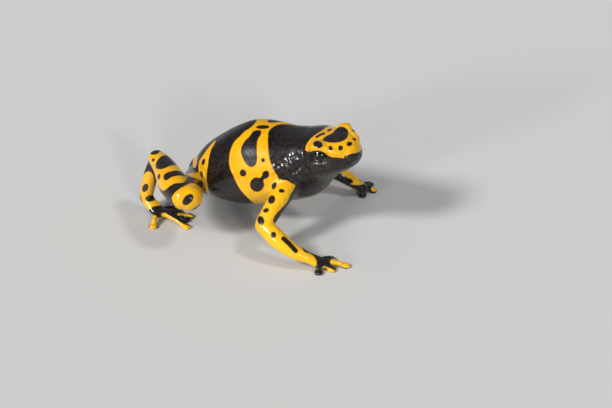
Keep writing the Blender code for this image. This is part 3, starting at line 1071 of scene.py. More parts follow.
SADDLE = (
    Outline((
        (257, 116), (256.5, 121), (250, 128), (245, 131), (240, 136), (235, 141), (232, 146),
        (230, 152), (229, 160), (229.5, 166), (231, 171), (233, 175), (236, 182), (240, 189),
        (245, 195), (250, 200), (255, 204), (260, 206), (266, 206), (271, 202), (275, 196),
        (278, 189), (279, 182), (278, 176.5), (275, 172.5), (272, 166),
        (269.8, 160), (268.5, 152), (268, 145), (268, 136), (269, 131), (272, 127.8), (277, 125),
        (284, 124.2), (291, 124.5), (299, 125.6), (291, 122.2), (284, 121.4), (280, 119.5),
        (274, 116),
    )),
    Outline((
        (254, 131), (258, 130), (261, 131), (260.5, 135), (258, 139), (257, 143), (256.8, 149),
        (257, 155), (257, 160), (255.5, 165), (252, 167), (248, 165.5), (245, 162), (242, 156),
        (241, 151), (242, 146), (245, 141), (249, 137), (251.5, 133.5),
    ), Paint.BLACK),
    Spot(243, 173, 3.2, 3.6, -20),
    Spot(265.7, 174.6, 3.4, 4.0, 15),
    Stroke(((264, 176.5), (260.5, 180.5)), 4.0, Paint.BLACK),
    Spot(257, 184.6, 7.0, 7.2),
    Spot(274, 185.5, 2.1, 4.0, 25),
    Spot(263.1, 160.2, 1.8, 2.1),
    Spot(262.8, 127.0, 6.8, 1.9, -2),
    Outline((
        (267.4, 121.6), (271, 118.6), (277, 118.5), (283, 120.4), (279, 121.9), (272, 122.6),
    ), Paint.BLACK),
)

# The gold between the rump and the thigh, which belongs to both.
BEHIND_KNEE = Outline((
    (184.5, 174.2), (191, 173.0), (198.6, 173.2), (201.5, 179.6), (196, 178.2), (189.5, 176.4),
))

RUMP = (
    Outline((
        (215.9, 140.5), (213.4, 145.6), (211.0, 150), (209, 158), (207.7, 167), (206.8, 174),
        (206.8, 181.5), (208.6, 190.5), (211.2, 199), (207, 192.5), (204.4, 186), (202, 180.5),
        (199.8, 175.5), (198.4, 168), (199.4, 161), (203.8, 154), (208.5, 147.5), (212.5, 143),
    )),
    Spot(203.4, 161.8, 1.6, 3.3, 12),
    Spot(201.6, 175.0, 1.3, 4.4, -8),
    Outline(((197.5, 154), (197, 160), (196.2, 166), (193.8, 168), (192.6, 163), (194, 157.5))),
    BEHIND_KNEE,
)

CROWN = (
    Outline((
        (302.4, 146.2), (303.4, 143.0), (305.6, 141.0), (309.4, 138.2), (314.1, 135.0),
        (319.9, 131.6), (325.6, 128.2), (329.8, 126.2), (335.7, 124.8), (340, 121.5),
        (344.5, 119.5), (350, 121), (355, 126), (359, 132), (362.5, 140), (364.5, 147),
        (361.2, 150.3), (356.7, 152.8), (352.4, 153.5),
        (349.1, 154.6), (345.9, 156.5), (343.4, 158.1), (338.1, 157.6), (331.4, 157.0),
        (327.5, 155.2), (323.7, 152.2), (318.9, 150.6), (313.2, 150.7), (308.9, 152.2),
        (303.4, 150.2),
    )),
    Outline((
        (322.6, 139.2), (325.8, 136.4), (329.8, 134.3), (333.4, 132.2), (335.6, 129.2),
        (338.6, 127.2), (342, 126.7), (346, 128.2), (348.3, 131.8), (348.1, 135),
        (346.5, 138.2), (343, 140.8),
        (338.4, 142.2), (332.8, 142.7), (327.7, 142.1), (324.0, 140.8),
    ), Paint.BLACK),
    Spot(318.0, 144.4, 4.9, 3.5, 16),
    Stroke(((316.8, 137.0), (320.6, 134.6), (324.2, 133.4)), 2.3, Paint.BLACK),
    Stroke(((328.0, 130.7), (330.8, 129.6)), 2.0, Paint.BLACK),
    Spot(330.5, 148.2, 2.0, 2.5, -20),
    Spot(340.6, 148.0, 2.4, 2.7, 15),
    Spot(349.4, 143.8, 2.9, 2.2, -15),
    Spot(354.4, 139.2, 2.1, 1.2, 25),
)

ARM = (
    Outline((
        (276, 178), (271, 187), (269, 194), (265, 203), (261, 210), (256, 217), (252, 223),
        (250.5, 230), (252.5, 236), (259, 242.5), (265.5, 249.5), (275, 258.5), (286, 265.6),
        (296.5, 269.6), (306, 269.6), (313.4, 268), (316.6, 264.4), (316, 259.4), (312.4, 255),
        (308, 252.8), (305, 252), (299, 245), (290, 235), (282, 228), (275, 223.6),
        (273.2, 219.5), (277, 213), (281, 209), (287, 202), (291.5, 193), (296, 184.5),
        (290, 180), (283, 177),
    )),
    Spot(281.6, 190.8, 2.9, 2.0, 5),
    Spot(274.2, 186.0, 2.0, 3.6, 25),
    Spot(271.6, 199.6, 3.4, 4.3, 20),
    Spot(266.0, 210.4, 3.0, 2.1, -20),
    Spot(260.9, 220.6, 3.2, 4.6, -12),
    Spot(273.4, 234.8, 2.6, 3.1),
    Stroke(((283.6, 238.6), (289, 243.5), (295.6, 250.8)), 4.6, Paint.BLACK),
    Spot(298.4, 262.2, 2.8, 1.1, 10),
    Stroke(((333.5, 261.8), (341, 263), (351, 265.4)), 7.0),
    Stroke(((324, 268.4), (333.6, 272)), 4.6),
)

THIGH = (
    Outline((
        (171.8, 198.2), (174.5, 193), (180, 188.6), (186, 185), (192.4, 183.2), (198.6, 185.6),
        (202.4, 189.8), (204.0, 194.6), (203.0, 200), (199, 205), (194, 208.4), (189, 210.8),
        (184.4, 210.6), (178, 208.4), (174, 204.4),
    )),
    Spot(187.9, 199.6, 6.6, 4.1, -47),
    BEHIND_KNEE,
)

SHANK = (
    Outline((
        (184.6, 182), (176, 183.2), (171.8, 184.8), (167.6, 187.9), (164.5, 190.3), (162, 190.3),
        (157.3, 184.8), (154.2, 176.6), (152.4, 170.3), (150.5, 164.4), (146.4, 160), (146.5, 154),
        (154, 148), (161, 147), (168, 150), (174, 155), (179, 161), (184.5, 168), (187, 175),
    )),
    Outline((
        (155.8, 167.6), (156.1, 163), (159.1, 158.2), (162.7, 155.8), (166.4, 155.2),
        (170.4, 156), (174.6, 158.4), (179, 163), (178.4, 165), (172.4, 165.2), (168.8, 166.4),
        (165.2, 167.9), (161.5, 169.1), (157.9, 169),
    ), Paint.BLACK),
    Outline((
        (163.4, 177), (164.5, 174.3), (167.6, 172.4), (171.8, 171.1), (176.1, 170.5),
        (180.3, 171.2), (186, 173.6), (186, 176.2), (180.3, 175.6), (176.1, 175.9),
        (172.4, 176.8), (169.4, 178.3), (166.4, 180.3), (164.3, 179.8),
    ), Paint.BLACK),
    Spot(158.8, 176.8, 1.4, 3.0, 10),
    Spot(153.2, 160.0, 1.4, 1.8, 30),
    Spot(155.6, 151.6, 4.2, 2.6, -18),
)

TARSUS = (
    Outline((
        (148.0, 171.4), (144.5, 173.8), (141, 179.4), (139.4, 188.5), (140.6, 196),
        (143.4, 203.6), (147, 209.4), (149.4, 209.9), (151.8, 207.3), (155.5, 206.1),
        (162, 204.8), (162.5, 201), (159, 195.5), (155.6, 190.3), (154.4, 182.4), (153.6, 176.4),
        (151.6, 172.5),
    )),
    Spot(145.2, 187.9, 2.8, 4.4, 22),
    Spot(150.3, 198.4, 5.0, 3.2, -12),
    Stroke(((154.2, 218.6), (152.6, 230)), 7.0),
    Stroke(((164.0, 215.2), (172.4, 220.4), (183, 226.6), (190, 229)), 5.4),
    Stroke(((178.5, 214.2), (187.6, 215.2), (194, 216.6)), 2.6),
    Spot(196, 221.5, 3.0, 2.6, 0, Paint.GOLD),
)

FAR_ARM = (
    Outline((
        (341.2, 172.2), (347.3, 169.4), (352.4, 173.3), (357.8, 178.0), (360, 181.0),
        (364, 183.6), (357, 185.2), (350.2, 184.2), (353.2, 181.2), (348.6, 178.2), (344.6, 175.8),
    )),
    Spot(374, 189, 3.0, 2.6, 0, Paint.GOLD),
)


# The pebbled relief is a sum of so many waves, each shifted against the one before.
WAVES, WAVE_SHIFT = 7, 2.4


def pebbles(points: np.ndarray, length: float) -> np.ndarray:
    """An even pebbled relief between about -1 and 1.

    Args:
        points: Rows of x, y and z.
        length: The distance from one pebble to the next.

    Returns:
        The relief at each point.
    """
    total = np.zeros(len(points))
    for k in range(WAVES):
        height = 1 - 2 * (k + 0.5) / WAVES
        around = k * math.pi * (3 - math.sqrt(5))
        wide = math.sqrt(1 - height * height)
        way = np.array([wide * math.cos(around), wide * math.sin(around), height])
        total += np.cos(points @ way * 2 * math.pi / length + WAVE_SHIFT * k)
    return total / math.sqrt(2 * WAVES)


@dataclass(frozen=True)
class Fold:
    """A crease or ridge of the skin along a line over the photo.

    The height and the roughness on top are in millimetres, with creases below
    zero, and the half width is in pixels.
    """

    points: tuple
    height: float
    half_width: float
    rough: float = 0.0
    end_share: ClassVar[float] = 0.22
    furrow: ClassVar[tuple] = (-0.35, 1.8, 0.7)
    rough_width: ClassVar[float] = 1.4

    def relief(self, at: np.ndarray, pebbled: np.ndarray) -> np.ndarray:
        """How far points are raised, in millimetres.

        Args:
            at: The points' pixels.
            pebbled: The pebbled relief at the points.

        Returns:
            Millimetres outwards.
        """
        far, passed = nearest_on_line(curve_through(np.array(self.points, float), 6), at)
        across = far / self.half_width
        ends = smoothstep(0.0, self.end_share, passed)
        ends *= smoothstep(1.0, 1.0 - self.end_share, passed)
        beside, at_half_widths, width = self.furrow
        profile = bell(across, 0.0, 1.0) + beside * bell(across, at_half_widths, width)
        rough = self.rough * pebbled * bell(across, 0.0, self.rough_width)
        return ends * (self.height * profile + rough)


BODY_FOLDS = (
    Fold(
        ((266, 167), (275, 169.0), (283, 168.4), (290, 164.6), (296, 159.8), (303, 153)),
        0.20, 4.6, 0.13,
    ),
    Fold(((279, 175), (284.5, 176.8), (289.5, 179.4), (297, 184)), -0.18, 1.8),
    Fold(((286, 174.4), (292, 173.2), (298.5, 168.5), (303, 163.5)), -0.11, 1.7, 0.05),
    Fold(((304.6, 155), (304.0, 163), (304.6, 172), (307, 181)), -0.13, 1.5),
    Fold(((311, 161), (308.6, 166), (308.8, 173), (312, 180)), -0.10, 1.3),
    Fold(((314.5, 170), (313.4, 176), (315, 182), (319, 188)), -0.06, 1.3, 0.02),
    Fold(((275, 184), (272, 190), (268, 199)), -0.14, 1.8),
    Fold(((206, 184), (209, 192), (214, 199)), -0.10, 1.6),
    Fold(((297, 171), (300.5, 177), (301.5, 184)), 0.10, 3.0, 0.06),
    Fold(((230.4, 170.6), (232.2, 172.2), (234.0, 173.8)), 0.10, 1.5),
    Fold(((231.6, 187.2), (233.4, 188.8), (235.2, 190.6)), 0.16, 1.6),
)

HEAD_FOLDS = (
    Fold(((307.5, 146.5), (311.0, 141.2), (317.4, 138.9), (324.4, 140.2)), -0.11, 1.2),
)


@dataclass
class Markings:
    """Where the skin is golden: signed depth in millimetres from the bands' edges."""

    frog: Frog
    camera: PhotoCamera
    knee_reach: float = 5.4
    deepest: float = 2.0
    # the least and the full turn towards the photo at which it is trusted
    trunk_turn: tuple = (-0.35, -0.02)
    head_turn: tuple = (-0.15, 0.12)
    # the markings' end on the belly: degrees from straight down, swing, waves, slope
    belly: tuple = (24.0, 7.0, 1.1, 0.11)
    head_core: tuple = (0.0, 0.0, -1.6)
    head_core_length: float = 0.4
    # the markings' end on the limbs' far side: least turn, slope
    limb_end: tuple = (0.45, 1.6)
    least_weight: float = 0.002
    shapes: dict = field(default_factory=lambda: {
        "trunk": SADDLE + RUMP,
        "head": CROWN,
        "arm": ARM,
        "knee": THIGH,
        "thigh": RUMP,
        "shank": THIGH + SHANK,
        "foot": TARSUS,
    })

    def __post_init__(self) -> None:
        """Finds the limbs' stretches on both sides."""
        self.stretches = {side: self.frog.stretches(side) for side in Side}

    def drawn(self, shapes: tuple, points: np.ndarray) -> np.ndarray:
        """How deep points lie in the gold of some shapes, in millimetres.

        Args:
            shapes: Golden shapes, and black ones laid over them.
            points: Rows of x, y and z.

        Returns:
            One depth for each point.
        """
        if not shapes:
            return np.full(len(points), -self.deepest)
        at = self.camera.pixels(points)
        gold = np.full(len(points), -HUGE)
        for shape in shapes:
            if shape.paint is Paint.GOLD:
                gold = np.maximum(gold, shape.depth(at))
        for shape in shapes:
            if shape.paint is Paint.BLACK:
                gold = np.minimum(gold, -shape.depth(at))
        return np.clip(gold / self.camera.pixels_per_mm, -self.deepest, self.deepest)

    def mirrored(
        self, name: str, points: np.ndarray, image: np.ndarray, share: np.ndarray
    ) -> np.ndarray:
        """A group's markings, which give way to those of its mirror image.

        Args:
            name: The group.
            points: Its points.
            image: The points' mirror images.
            share: The share of the points' own markings.

        Returns:
            How deep the points lie in the gold, in millimetres.
        """
        near, far = (self.drawn(self.shapes[name], at) for at in (points, image))
        return near * share + far * (1 - share)

    def seen(self, outward: np.ndarray, turn: tuple) -> np.ndarray:
        """How far each outward direction is turned to the photo's camera."""
        return smoothstep(*turn, outward @ self.camera.back)

    def trunk(self, points: np.ndarray) -> np.ndarray:
        """The trunk's bands: the side in the photo, and its mirror image beyond the back.

        Args:
            points: Rows of x, y and z.

        Returns:
            One depth for each point.
        """
        middle = self.frog.trunk.middle(points[:, 0])
        away = points[:, 1:] - middle
        outward = unit_rows(np.concatenate([np.zeros((len(points), 1)), away], axis=1))
        image = points.copy()
        image[:, 1] = 2 * middle[:, 0] - points[:, 1]
        share = np.where(away[:, 0] > 0, self.seen(outward, self.trunk_turn), 1.0)
        depth = self.mirrored("trunk", points, image, share)
        from_below = np.degrees(np.arctan2(np.abs(away[:, 0]), -away[:, 1]))
        limit, swing, waves, slope = self.belly
        limit = limit + swing * np.sin(points[:, 0] * waves)
        return np.minimum(depth, (from_below - limit) * slope)

    def head(self, points: np.ndarray) -> np.ndarray:
        """The crown, mirrored where the photo doesn't reach.

        Args:
            points: Rows of x, y and z.

        Returns:
            One depth for each point.
        """
        head = self.frog.head
        local = head.local(points)
        image = points - 2 * local[:, 1:2] * head.axes[1]
        from_core = local - np.array(self.head_core)
        from_core[:, 0] *= self.head_core_length
        outward = unit_rows(from_core @ head.axes)
        share = np.where(local[:, 1] > 0, self.seen(outward, self.head_turn), 1.0)
        return self.mirrored("head", points, image, share)

    def shapes_of(self, name: str) -> tuple:
        """The shapes drawn for one part of a limb.

        Args:
            name: The part's name.

        Returns:
            The shapes.
        """
        if name in self.shapes:
            return self.shapes[name]
        is_arm = any(word in name for word in ("arm", "palm", "finger"))
        return self.shapes["arm" if is_arm else "foot"]

    def limb(self, name: str, points: np.ndarray, normals: np.ndarray) -> np.ndarray:
        """A near limb's markings, which fade out on the side turned from the photo.

        Args:
            name: The part's name.
            points: Rows of x, y and z.
            normals: The normals there.

        Returns:
            One depth for each point.
        """
        value = self.drawn(self.shapes_of(name), points)
        if name == "thigh":
            knee = self.stretches[Side.RIGHT]["shank"].start
            cap = self.knee_reach - np.linalg.norm(points - knee, axis=1)
            value = np.maximum(value, np.minimum(self.drawn(self.shapes["knee"], points), cap))
        least, slope = self.limb_end
        return np.minimum(value, (normals @ self.camera.back + least) * slope)

    def far_limb(self, name: str, points: np.ndarray, normals: np.ndarray) -> np.ndarray:
        """A far limb's markings: those of the near one, carried over by its stretches."""
        near, far = (self.stretches[side][name] for side in (Side.RIGHT, Side.LEFT))
        return self.limb(name, *far.carried(points, normals, near))

    def depth(
        self, points: np.ndarray, normals: np.ndarray, visible: np.ndarray, weights: dict
    ) -> np.ndarray:
        """The signed depth for the whole skin.

        Args:
            points: The skin's points in the frog's millimetres.
            normals: Their normals.
            visible: How much of each point the photo shows, from 0 to 1.
            weights: For each group the share with which it colours each point.

        Returns:
            Millimetres inside the gold, negative on black.
        """
        total = np.zeros(len(points))
        for (name, side), share in weights.items():
            rows = np.nonzero(share > self.least_weight)[0]
            if not len(rows):
                continue
            at, outward = points[rows], normals[rows]
            if name == "trunk":
                value = self.trunk(at)
            elif name == "head":
                value = self.head(at)
            elif side is Side.RIGHT:
                value = self.limb(name, at, outward)
            else:
                value = self.far_limb(name, at, outward)
                if name in ("forearm", "palm") or "finger" in name:
                    shown = visible[rows]
                    value = value * (1 - shown) + self.drawn(FAR_ARM, at) * shown
            total[rows] += share[rows] * value
        return total


def linked(name: str, data: object) -> bpy.types.Object:
    """A new object in the scene that shows some data.

    Args:
        name: The object's name.
        data: A mesh, a light or a camera.

    Returns:
        The object.
    """
    result = bpy.data.objects.new(name, data)
    bpy.context.scene.collection.objects.link(result)
    return result


def mesh_object(name: str, points: np.ndarray, faces: list) -> bpy.types.Object:
    """A new mesh in the scene.

    Args:
        name: Its name.
        points: Rows of x, y and z.
        faces: The faces, each as the numbers of its points.

    Returns:
        The object.
    """
    data = bpy.data.meshes.new(name)
    data.from_pydata([tuple(p) for p in points], [], faces)
    return linked(name, data)


def set_values(data: bpy.types.Mesh, name: str, values: np.ndarray) -> None:
    """Keeps one number for each point of a mesh, for its material to read."""
    attribute = data.attributes.new(name, "FLOAT", "POINT")
    attribute.data.foreach_set("value", values.astype(np.float32))


def set_inputs(node: bpy.types.Node, values: tuple) -> None:
    """Sets a node's inputs from rows of a name and a value."""
    for name, value in values:
        node.inputs[name].default_value = value


def material(name: str) -> tuple:
    """A new node material.

    Args:
        name: The finish's name.

    Returns:
        The material, its node tree's nodes and links, and its shader.
    """
    finish = bpy.data.materials.new(name)
    finish.use_nodes = True
    tree = finish.node_tree
    return finish, tree.nodes, tree.links, tree.nodes["Principled BSDF"]


@dataclass(frozen=True)
class SkinFinish:
    """Moist, finely grained skin: black ground with golden bands, and a painted highlight along
    the roll under each eye.
    """

    black: tuple = (0.0058, 0.0044, 0.0042, 1.0)
    black_bloom: tuple = (0.019, 0.0135, 0.0120, 1.0)
    # painted highlight: a paler black laid along the roll under each eye, where light would catch
    # the lid
    lid_roll_highlight: tuple = (0.105, 0.095, 0.090, 1.0)
    amber: tuple = (0.76, 0.395, 0.001, 1.0)
    lemon: tuple = (0.86, 0.475, 0.008, 1.0)
    orange: tuple = (0.72, 0.27, 0.001, 1.0)
    edge_mm: float = 0.055
    wobble_mm: float = 0.10
    grain_mm: float = 0.26
    # each noise's waves to the millimetre, and its detail
    edge_noise: tuple = (2.4, 3.0)
    cloud_noise: tuple = (0.35, 4.0)
    fleck_noise: tuple = (1.6, 5.0)
    swell_noise: tuple = (1.1, 2.0)
    # spans mapped onto others: from, to, onto from, onto to
    deep_span: tuple = (0.24, 0.40, 0.0, 0.55)
    rim_span: tuple = (0.0, 0.30, 0.5, 0.0)
    bloom_span: tuple = (0.35, 0.7, 0.0, 1.0)
    roughness_span: tuple = (0.3, 0.75, 0.27, 0.44)
    coat_span: tuple = (0.0, 1.0, 0.02, 0.55)
    coat_roughness_span: tuple = (0.0, 1.0, 0.34, 0.09)
    grain_top: float = 0.6
    swell_share: float = 0.5
    bump_strength: float = 0.55
    bump_mm: float = 0.045
    specular: float = 0.20

    def make(self) -> bpy.types.Material:
        """Builds the material.

        Returns:
            The material.
        """
        finish, nodes, links, shader = material("frog_skin")
        place = nodes.new("ShaderNodeTexCoord")

        def measured(name: str) -> bpy.types.NodeSocket:
            """What the skin keeps at each point under a name.

            Args:
                name: The attribute's name.

            Returns:
                The number's socket.
            """
            source = nodes.new("ShaderNodeAttribute")
            source.attribute_name = name
            return source.outputs["Fac"]

        def noise(per_mm: float, detail: float) -> bpy.types.NodeSocket:
            """A noise with so many waves to the millimetre.

            Args:
                per_mm: The waves.
                detail: How many finer ones it holds.

            Returns:
                The noise's socket.
            """
            texture = nodes.new("ShaderNodeTexNoise")
            set_inputs(texture, (("Scale", per_mm / METRES), ("Detail", detail)))
            links.new(place.outputs["Object"], texture.inputs["Vector"])
            return texture.outputs["Fac"]

        def maths(kind: str, first: object, second: object) -> bpy.types.NodeSocket:
            """The result of one sum on two sockets or numbers.

            Args:
                kind: The operation.
                first: A socket or number.
                second: A socket or number.

            Returns:
                The result's socket.
            """
            step = nodes.new("ShaderNodeMath")
            step.operation = kind
            for slot, value in zip(step.inputs, (first, second)):
                if isinstance(value, (int, float)):
                    slot.default_value = value
                else:
                    links.new(value, slot)
            return step.outputs[0]

        def span(value: object, spans: tuple) -> bpy.types.NodeSocket:
            """A value's span mapped smoothly onto another.

            Args:
                value: The value's socket.
                spans: From, to, onto from and onto to.

            Returns:
                The result's socket.
            """
            step = nodes.new("ShaderNodeMapRange")
            step.interpolation_type = "SMOOTHSTEP"
            links.new(value, step.inputs["Value"])
            set_inputs(step, zip(("From Min", "From Max", "To Min", "To Max"), spans))
            return step.outputs["Result"]

        def blend(share: object, first: object, second: object) -> bpy.types.NodeSocket:
            """A mix of two colours.

            Args:
                share: The second colour's share, a socket or number.
                first: A socket or colour.
                second: A socket or colour.

            Returns:
                The result's socket.
            """
            step = nodes.new("ShaderNodeMix")
            step.data_type = "RGBA"
            for slot, value in ((0, share), (6, first), (7, second)):
                if isinstance(value, (tuple, float)):
                    step.inputs[slot].default_value = value
                else:
                    links.new(value, step.inputs[slot])
            return step.outputs[2]

        wobble = maths("SUBTRACT", noise(*self.edge_noise), 0.5)
        wobble = maths("MULTIPLY", wobble, 2 * self.wobble_mm)
        edge = maths("ADD", measured("gold_depth"), wobble)
        is_gold = span(edge, (-self.edge_mm, self.edge_mm, 0.0, 1.0))
        cloud, fleck = noise(*self.cloud_noise), noise(*self.fleck_noise)
        yellow = blend(measured("paleness"), self.amber, self.lemon)
        deep = span(maths("MULTIPLY", cloud, fleck), self.deep_span)
        gold = blend(deep, yellow, self.orange)
        gold = blend(span(edge, self.rim_span), gold, self.orange)
        ground = blend(span(fleck, self.bloom_span), self.black, self.black_bloom)
        # painted highlight: the black ground is lightened along the roll under each eye
        ground = blend(measured("roll"), ground, self.lid_roll_highlight)

        grain = nodes.new("ShaderNodeTexVoronoi")
        grain.feature = "SMOOTH_F1"
        set_inputs(grain, (("Scale", 1 / (self.grain_mm * METRES)), ("Smoothness", 0.6)))
        links.new(place.outputs["Object"], grain.inputs["Vector"])
        height = maths("SUBTRACT", self.grain_top, grain.outputs["Distance"])
        height = maths("MULTIPLY", height, measured("grain"))
        swell = maths("MULTIPLY", noise(*self.swell_noise), self.swell_share)
        bump = nodes.new("ShaderNodeBump")
        set_inputs(bump, (("Strength", self.bump_strength), ("Distance", self.bump_mm * METRES)))
        links.new(maths("ADD", height, swell), bump.inputs["Height"])

        wet = measured("wetness")
        for name, source in (
            ("Base Color", blend(is_gold, ground, gold)),
            ("Normal", bump.outputs["Normal"]),
            ("Roughness", span(fleck, self.roughness_span)),
            ("Coat Weight", span(wet, self.coat_span)),
            ("Coat Roughness", span(wet, self.coat_roughness_span)),
        ):
            links.new(source, shader.inputs[name])
        set_inputs(shader, (("Specular IOR Level", self.specular),))
        return finish


@dataclass(frozen=True)
class EyeFinish:
    """A wet, near black eye with a faint bronze ring round the pupil."""

    pupil: tuple = (0.0006, 0.0006, 0.0008, 1.0)
    iris: tuple = (0.0030, 0.0018, 0.0014, 1.0)
    bronze: tuple = (0.012, 0.0060, 0.0020, 1.0)
    # how far from the pupil's middle the pupil, the ring and the iris lie
    stops: tuple = (0.30, 0.34, 0.40, 0.9)
    threads: tuple = (("Scale", 6.0 / METRES), ("Detail", 4.0))
    thread_share: float = 0.6
    gloss: tuple = (
        ("Roughness", 0.25), ("Specular IOR Level", 0.05), ("Coat Weight", 1.0),
        ("Coat Roughness", 0.02),
    )

    def make(self) -> bpy.types.Material:
        """Builds the material.

        Returns:
            The material.
        """
        finish, nodes, links, shader = material("wet_eye")
        ring = nodes.new("ShaderNodeAttribute")
        ring.attribute_name = "pupil_distance"
        place = nodes.new("ShaderNodeTexCoord")
        threads = nodes.new("ShaderNodeTexNoise")
        set_inputs(threads, self.threads)
        links.new(place.outputs["Object"], threads.inputs["Vector"])
        ramp = nodes.new("ShaderNodeValToRGB")
        stops = ramp.color_ramp.elements
        for k, colour in enumerate((self.pupil, self.bronze)):
            stops[k].position, stops[k].color = self.stops[k], colour
        for position in self.stops[2:]:
            stops.new(position).color = self.iris
        links.new(ring.outputs["Fac"], ramp.inputs["Fac"])
        mix = nodes.new("ShaderNodeMix")
        mix.data_type = "RGBA"
        mix.blend_type = "MULTIPLY"
        mix.inputs[0].default_value = self.thread_share
        links.new(ramp.outputs["Color"], mix.inputs[6])
        links.new(threads.outputs["Color"], mix.inputs[7])
        links.new(mix.outputs[2], shader.inputs["Base Color"])
        set_inputs(shader, self.gloss)
        return finish


@dataclass
class Skin:
    """The one skin over all the flesh."""

    frog: Frog
    camera: PhotoCamera
    finish: SkinFinish = field(default_factory=SkinFinish)
    voxel_mm: float = 0.19
    even_rounds: int = 8
    soft_rounds: int = 60
    # the lids' opening: half length, half height above and below the middle
    opening: tuple = (0.88, 0.36, 0.44)
    # rolls and furrows round the opening: height, distance, width, share above the eye
    lid_rolls: tuple = (
        (0.07, 0.14, 0.11, 1.0),
        (-0.14, 0.36, 0.11, 0.35),
        (0.24, 0.66, 0.16, 0.0),
        (-0.12, 1.00, 0.12, 0.0),
        (0.08, 1.32, 0.15, 0.0),
    )
    # lines and lips of the mouth: depth, height above the line, width
    lips: tuple = ((-0.17, 0.0, 0.12), (0.09, 0.34, 0.20), (0.06, -0.32, 0.20))
    pebble_mm: float = 0.85
    pebble_height: float = 0.022
    # each group's colour is looked for so near, and gives way over so short a way
    group_reach: float = 6.0
    group_margin: float = 1.5
    group_blend: float = 0.14
    # the markings' depth is made even where it changes between these rates
    slopes: tuple = (0.35, 1.6)

    def fused(self, groups: dict) -> bpy.types.Object:
        """All forms fused into one even mesh, in millimetres.

        Args:
            groups: The forms by the group whose markings they carry.

        Returns:
            The skin's object.
        """
        whole = joined([form for forms in groups.values() for form in forms])
        skin = mesh_object("skin", whole.points, whole.faces)
        step = skin.modifiers.new("fuse", "REMESH")
        step.mode = "VOXEL"
        step.voxel_size = self.voxel_mm
        graph = bpy.context.evaluated_depsgraph_get()
        result = bpy.data.meshes.new_from_object(skin.evaluated_get(graph))
        skin.modifiers.clear()
        skin.data = result
        skin.data.name = "skin"
        return skin

    def soft_joints(self, points: np.ndarray) -> np.ndarray:
        """How much the flesh flows together at each point, near 1 in pits and necks.

        Args:
            points: The skin's points.

        Returns:
            One share for each point.
        """
        frog = self.frog
        throat = frog.trunk.neck_ring(0.5)
        under = throat.at - throat.top * frog.trunk.neck_throat
        places = [(frog.trunk.neck_at, 3.4, 1.0), (under, 5.2, 1.0)]
        places += [((12.6, 4.6 * side.value, 13.0), 3.2, 0.8) for side in Side]
        for arm in frog.arms:
            shoulder, elbow, wrist, _ = arm.joints
            places.append((between(shoulder, elbow, 0.18), 3.4, 1.0))
            places += [(elbow, 1.8, 0.7), (wrist, 1.4, 0.8)]
        for leg in frog.legs:
            hip, knee, heel, ankle, _ = leg.joints
            places.append((between(hip, knee, 0.12), 3.8, 1.0))
            places += [(heel, 1.5, 0.5), (ankle, 1.4, 0.8)]
        share = np.zeros(len(points))
        for at, reach, most in places:
            far = np.linalg.norm(points - np.array(at), axis=1)
            share = np.maximum(share, most * (1 - smoothstep(0.55 * reach, 1.35 * reach, far)))
        return share

    def carve_lids(self, surface: Surface) -> np.ndarray:
        """Opens the lids round each eyeball, with their margins and folds.

        Args:
            surface: The skin's points.

        Returns:
            How much of the painted highlight along the roll under the eye is at each point, from 0
            to 1.
        """
        radius = self.frog.head.eye_radius
        half_length, above, below = self.opening
        roll = np.zeros(len(surface.points))
        for side in Side:
            centre, axes = self.frog.head.eye_place(side)
            away = surface.points - centre
            far = np.linalg.norm(away, axis=1)
            rows = np.nonzero(far < radius + 1.6)[0]
            far = far[rows]
            local = (away[rows] / far[:, None]) @ axes.T
            along, up = np.abs(local[:, 0]), local[:, 1]
            front = local[:, 2] > -0.15
            height = np.where(up > 0, above, below)
            reach = np.sqrt((along / half_length) ** 2 + (up / height) ** 2)
            outside = np.where(front, (reach - 1.0) * 0.60 * radius, 3.0)
            lower = smoothstep(0.05, 0.35, -up)
            rim = radius + 0.10 + 0.26 * smoothstep(0.02, 0.75, outside)
            rim += 0.30 * smoothstep(0.20, 0.90, outside) * smoothstep(0.0, 0.30, up)
            for rise, at, width, on_top in self.lid_rolls:
                rim += rise * bell(outside, at, width) * (on_top + (1 - on_top) * lower)
            opened = smoothstep(-0.08, 0.06, outside)
            target = (radius - 0.22) * (1 - opened) + rim * opened
            share = (1 - smoothstep(0.50 + 0.85 * lower, 1.00 + 0.85 * lower, outside)) * front
            share *= 1 - smoothstep(radius + 0.9, radius + 1.5, far)
            new = far * (1 - share) + target * share
            surface.points[rows] = centre + (local * new[:, None]) @ axes
            under = smoothstep(0.30, 0.62, -up) * front * smoothstep(0.66, 0.36, along)
            # painted highlight: the share of paler black along the lower lid's roll
            roll[rows] += bell(outside, 0.62, 0.12) * under
        return roll

    def carve_mouth(self, surface: Surface) -> None:
        """Cuts the line of the mouth, with a lip above and below.

        Args:
            surface: The skin, which is changed.
        """
        head = self.frog.head
        normals = surface.normals()
        local = head.local(surface.points)
        height = local[:, 2] - head.mouth_height(local[:, 0])
        level = 1 - np.abs(normals @ head.axes[2])
        share = smoothstep(-2.5, -1.7, local[:, 0]) * smoothstep(0.05, 0.4, level)
        share *= np.abs(height) < 1.2
        depth = sum(rise * bell(height, at, width) for rise, at, width in self.lips)
        surface.points += normals * (depth * share)[:, None]

    def carve_spots(self, surface: Surface) -> None:
        """Sinks the nostrils and the eardrums.

        Args:
            surface: The skin, which is changed.
        """
        head = self.frog.head
        for side in Side:
            normals = surface.normals()
            nostril = head.point(*head.nostril_at, side)
            far = np.linalg.norm(surface.points - nostril, axis=1)
            depth = 0.10 * bell(far, 0.42, 0.22) - 0.34 * bell(far, 0.0, 0.20)
            centre, axes = head.ear_place(side)
            local = (surface.points - centre) @ axes.T
            ring = np.linalg.norm(local[:, :2], axis=1)
            near = (np.abs(local[:, 2]) < 1.4) & (normals @ axes[2] > 0.2)
            drum = 0.10 * bell(ring, head.ear_radius, 0.16)
            drum -= 0.10 * smoothstep(head.ear_radius, 0.5 * head.ear_radius, ring)
            depth += drum * near
            surface.points += normals * depth[:, None]

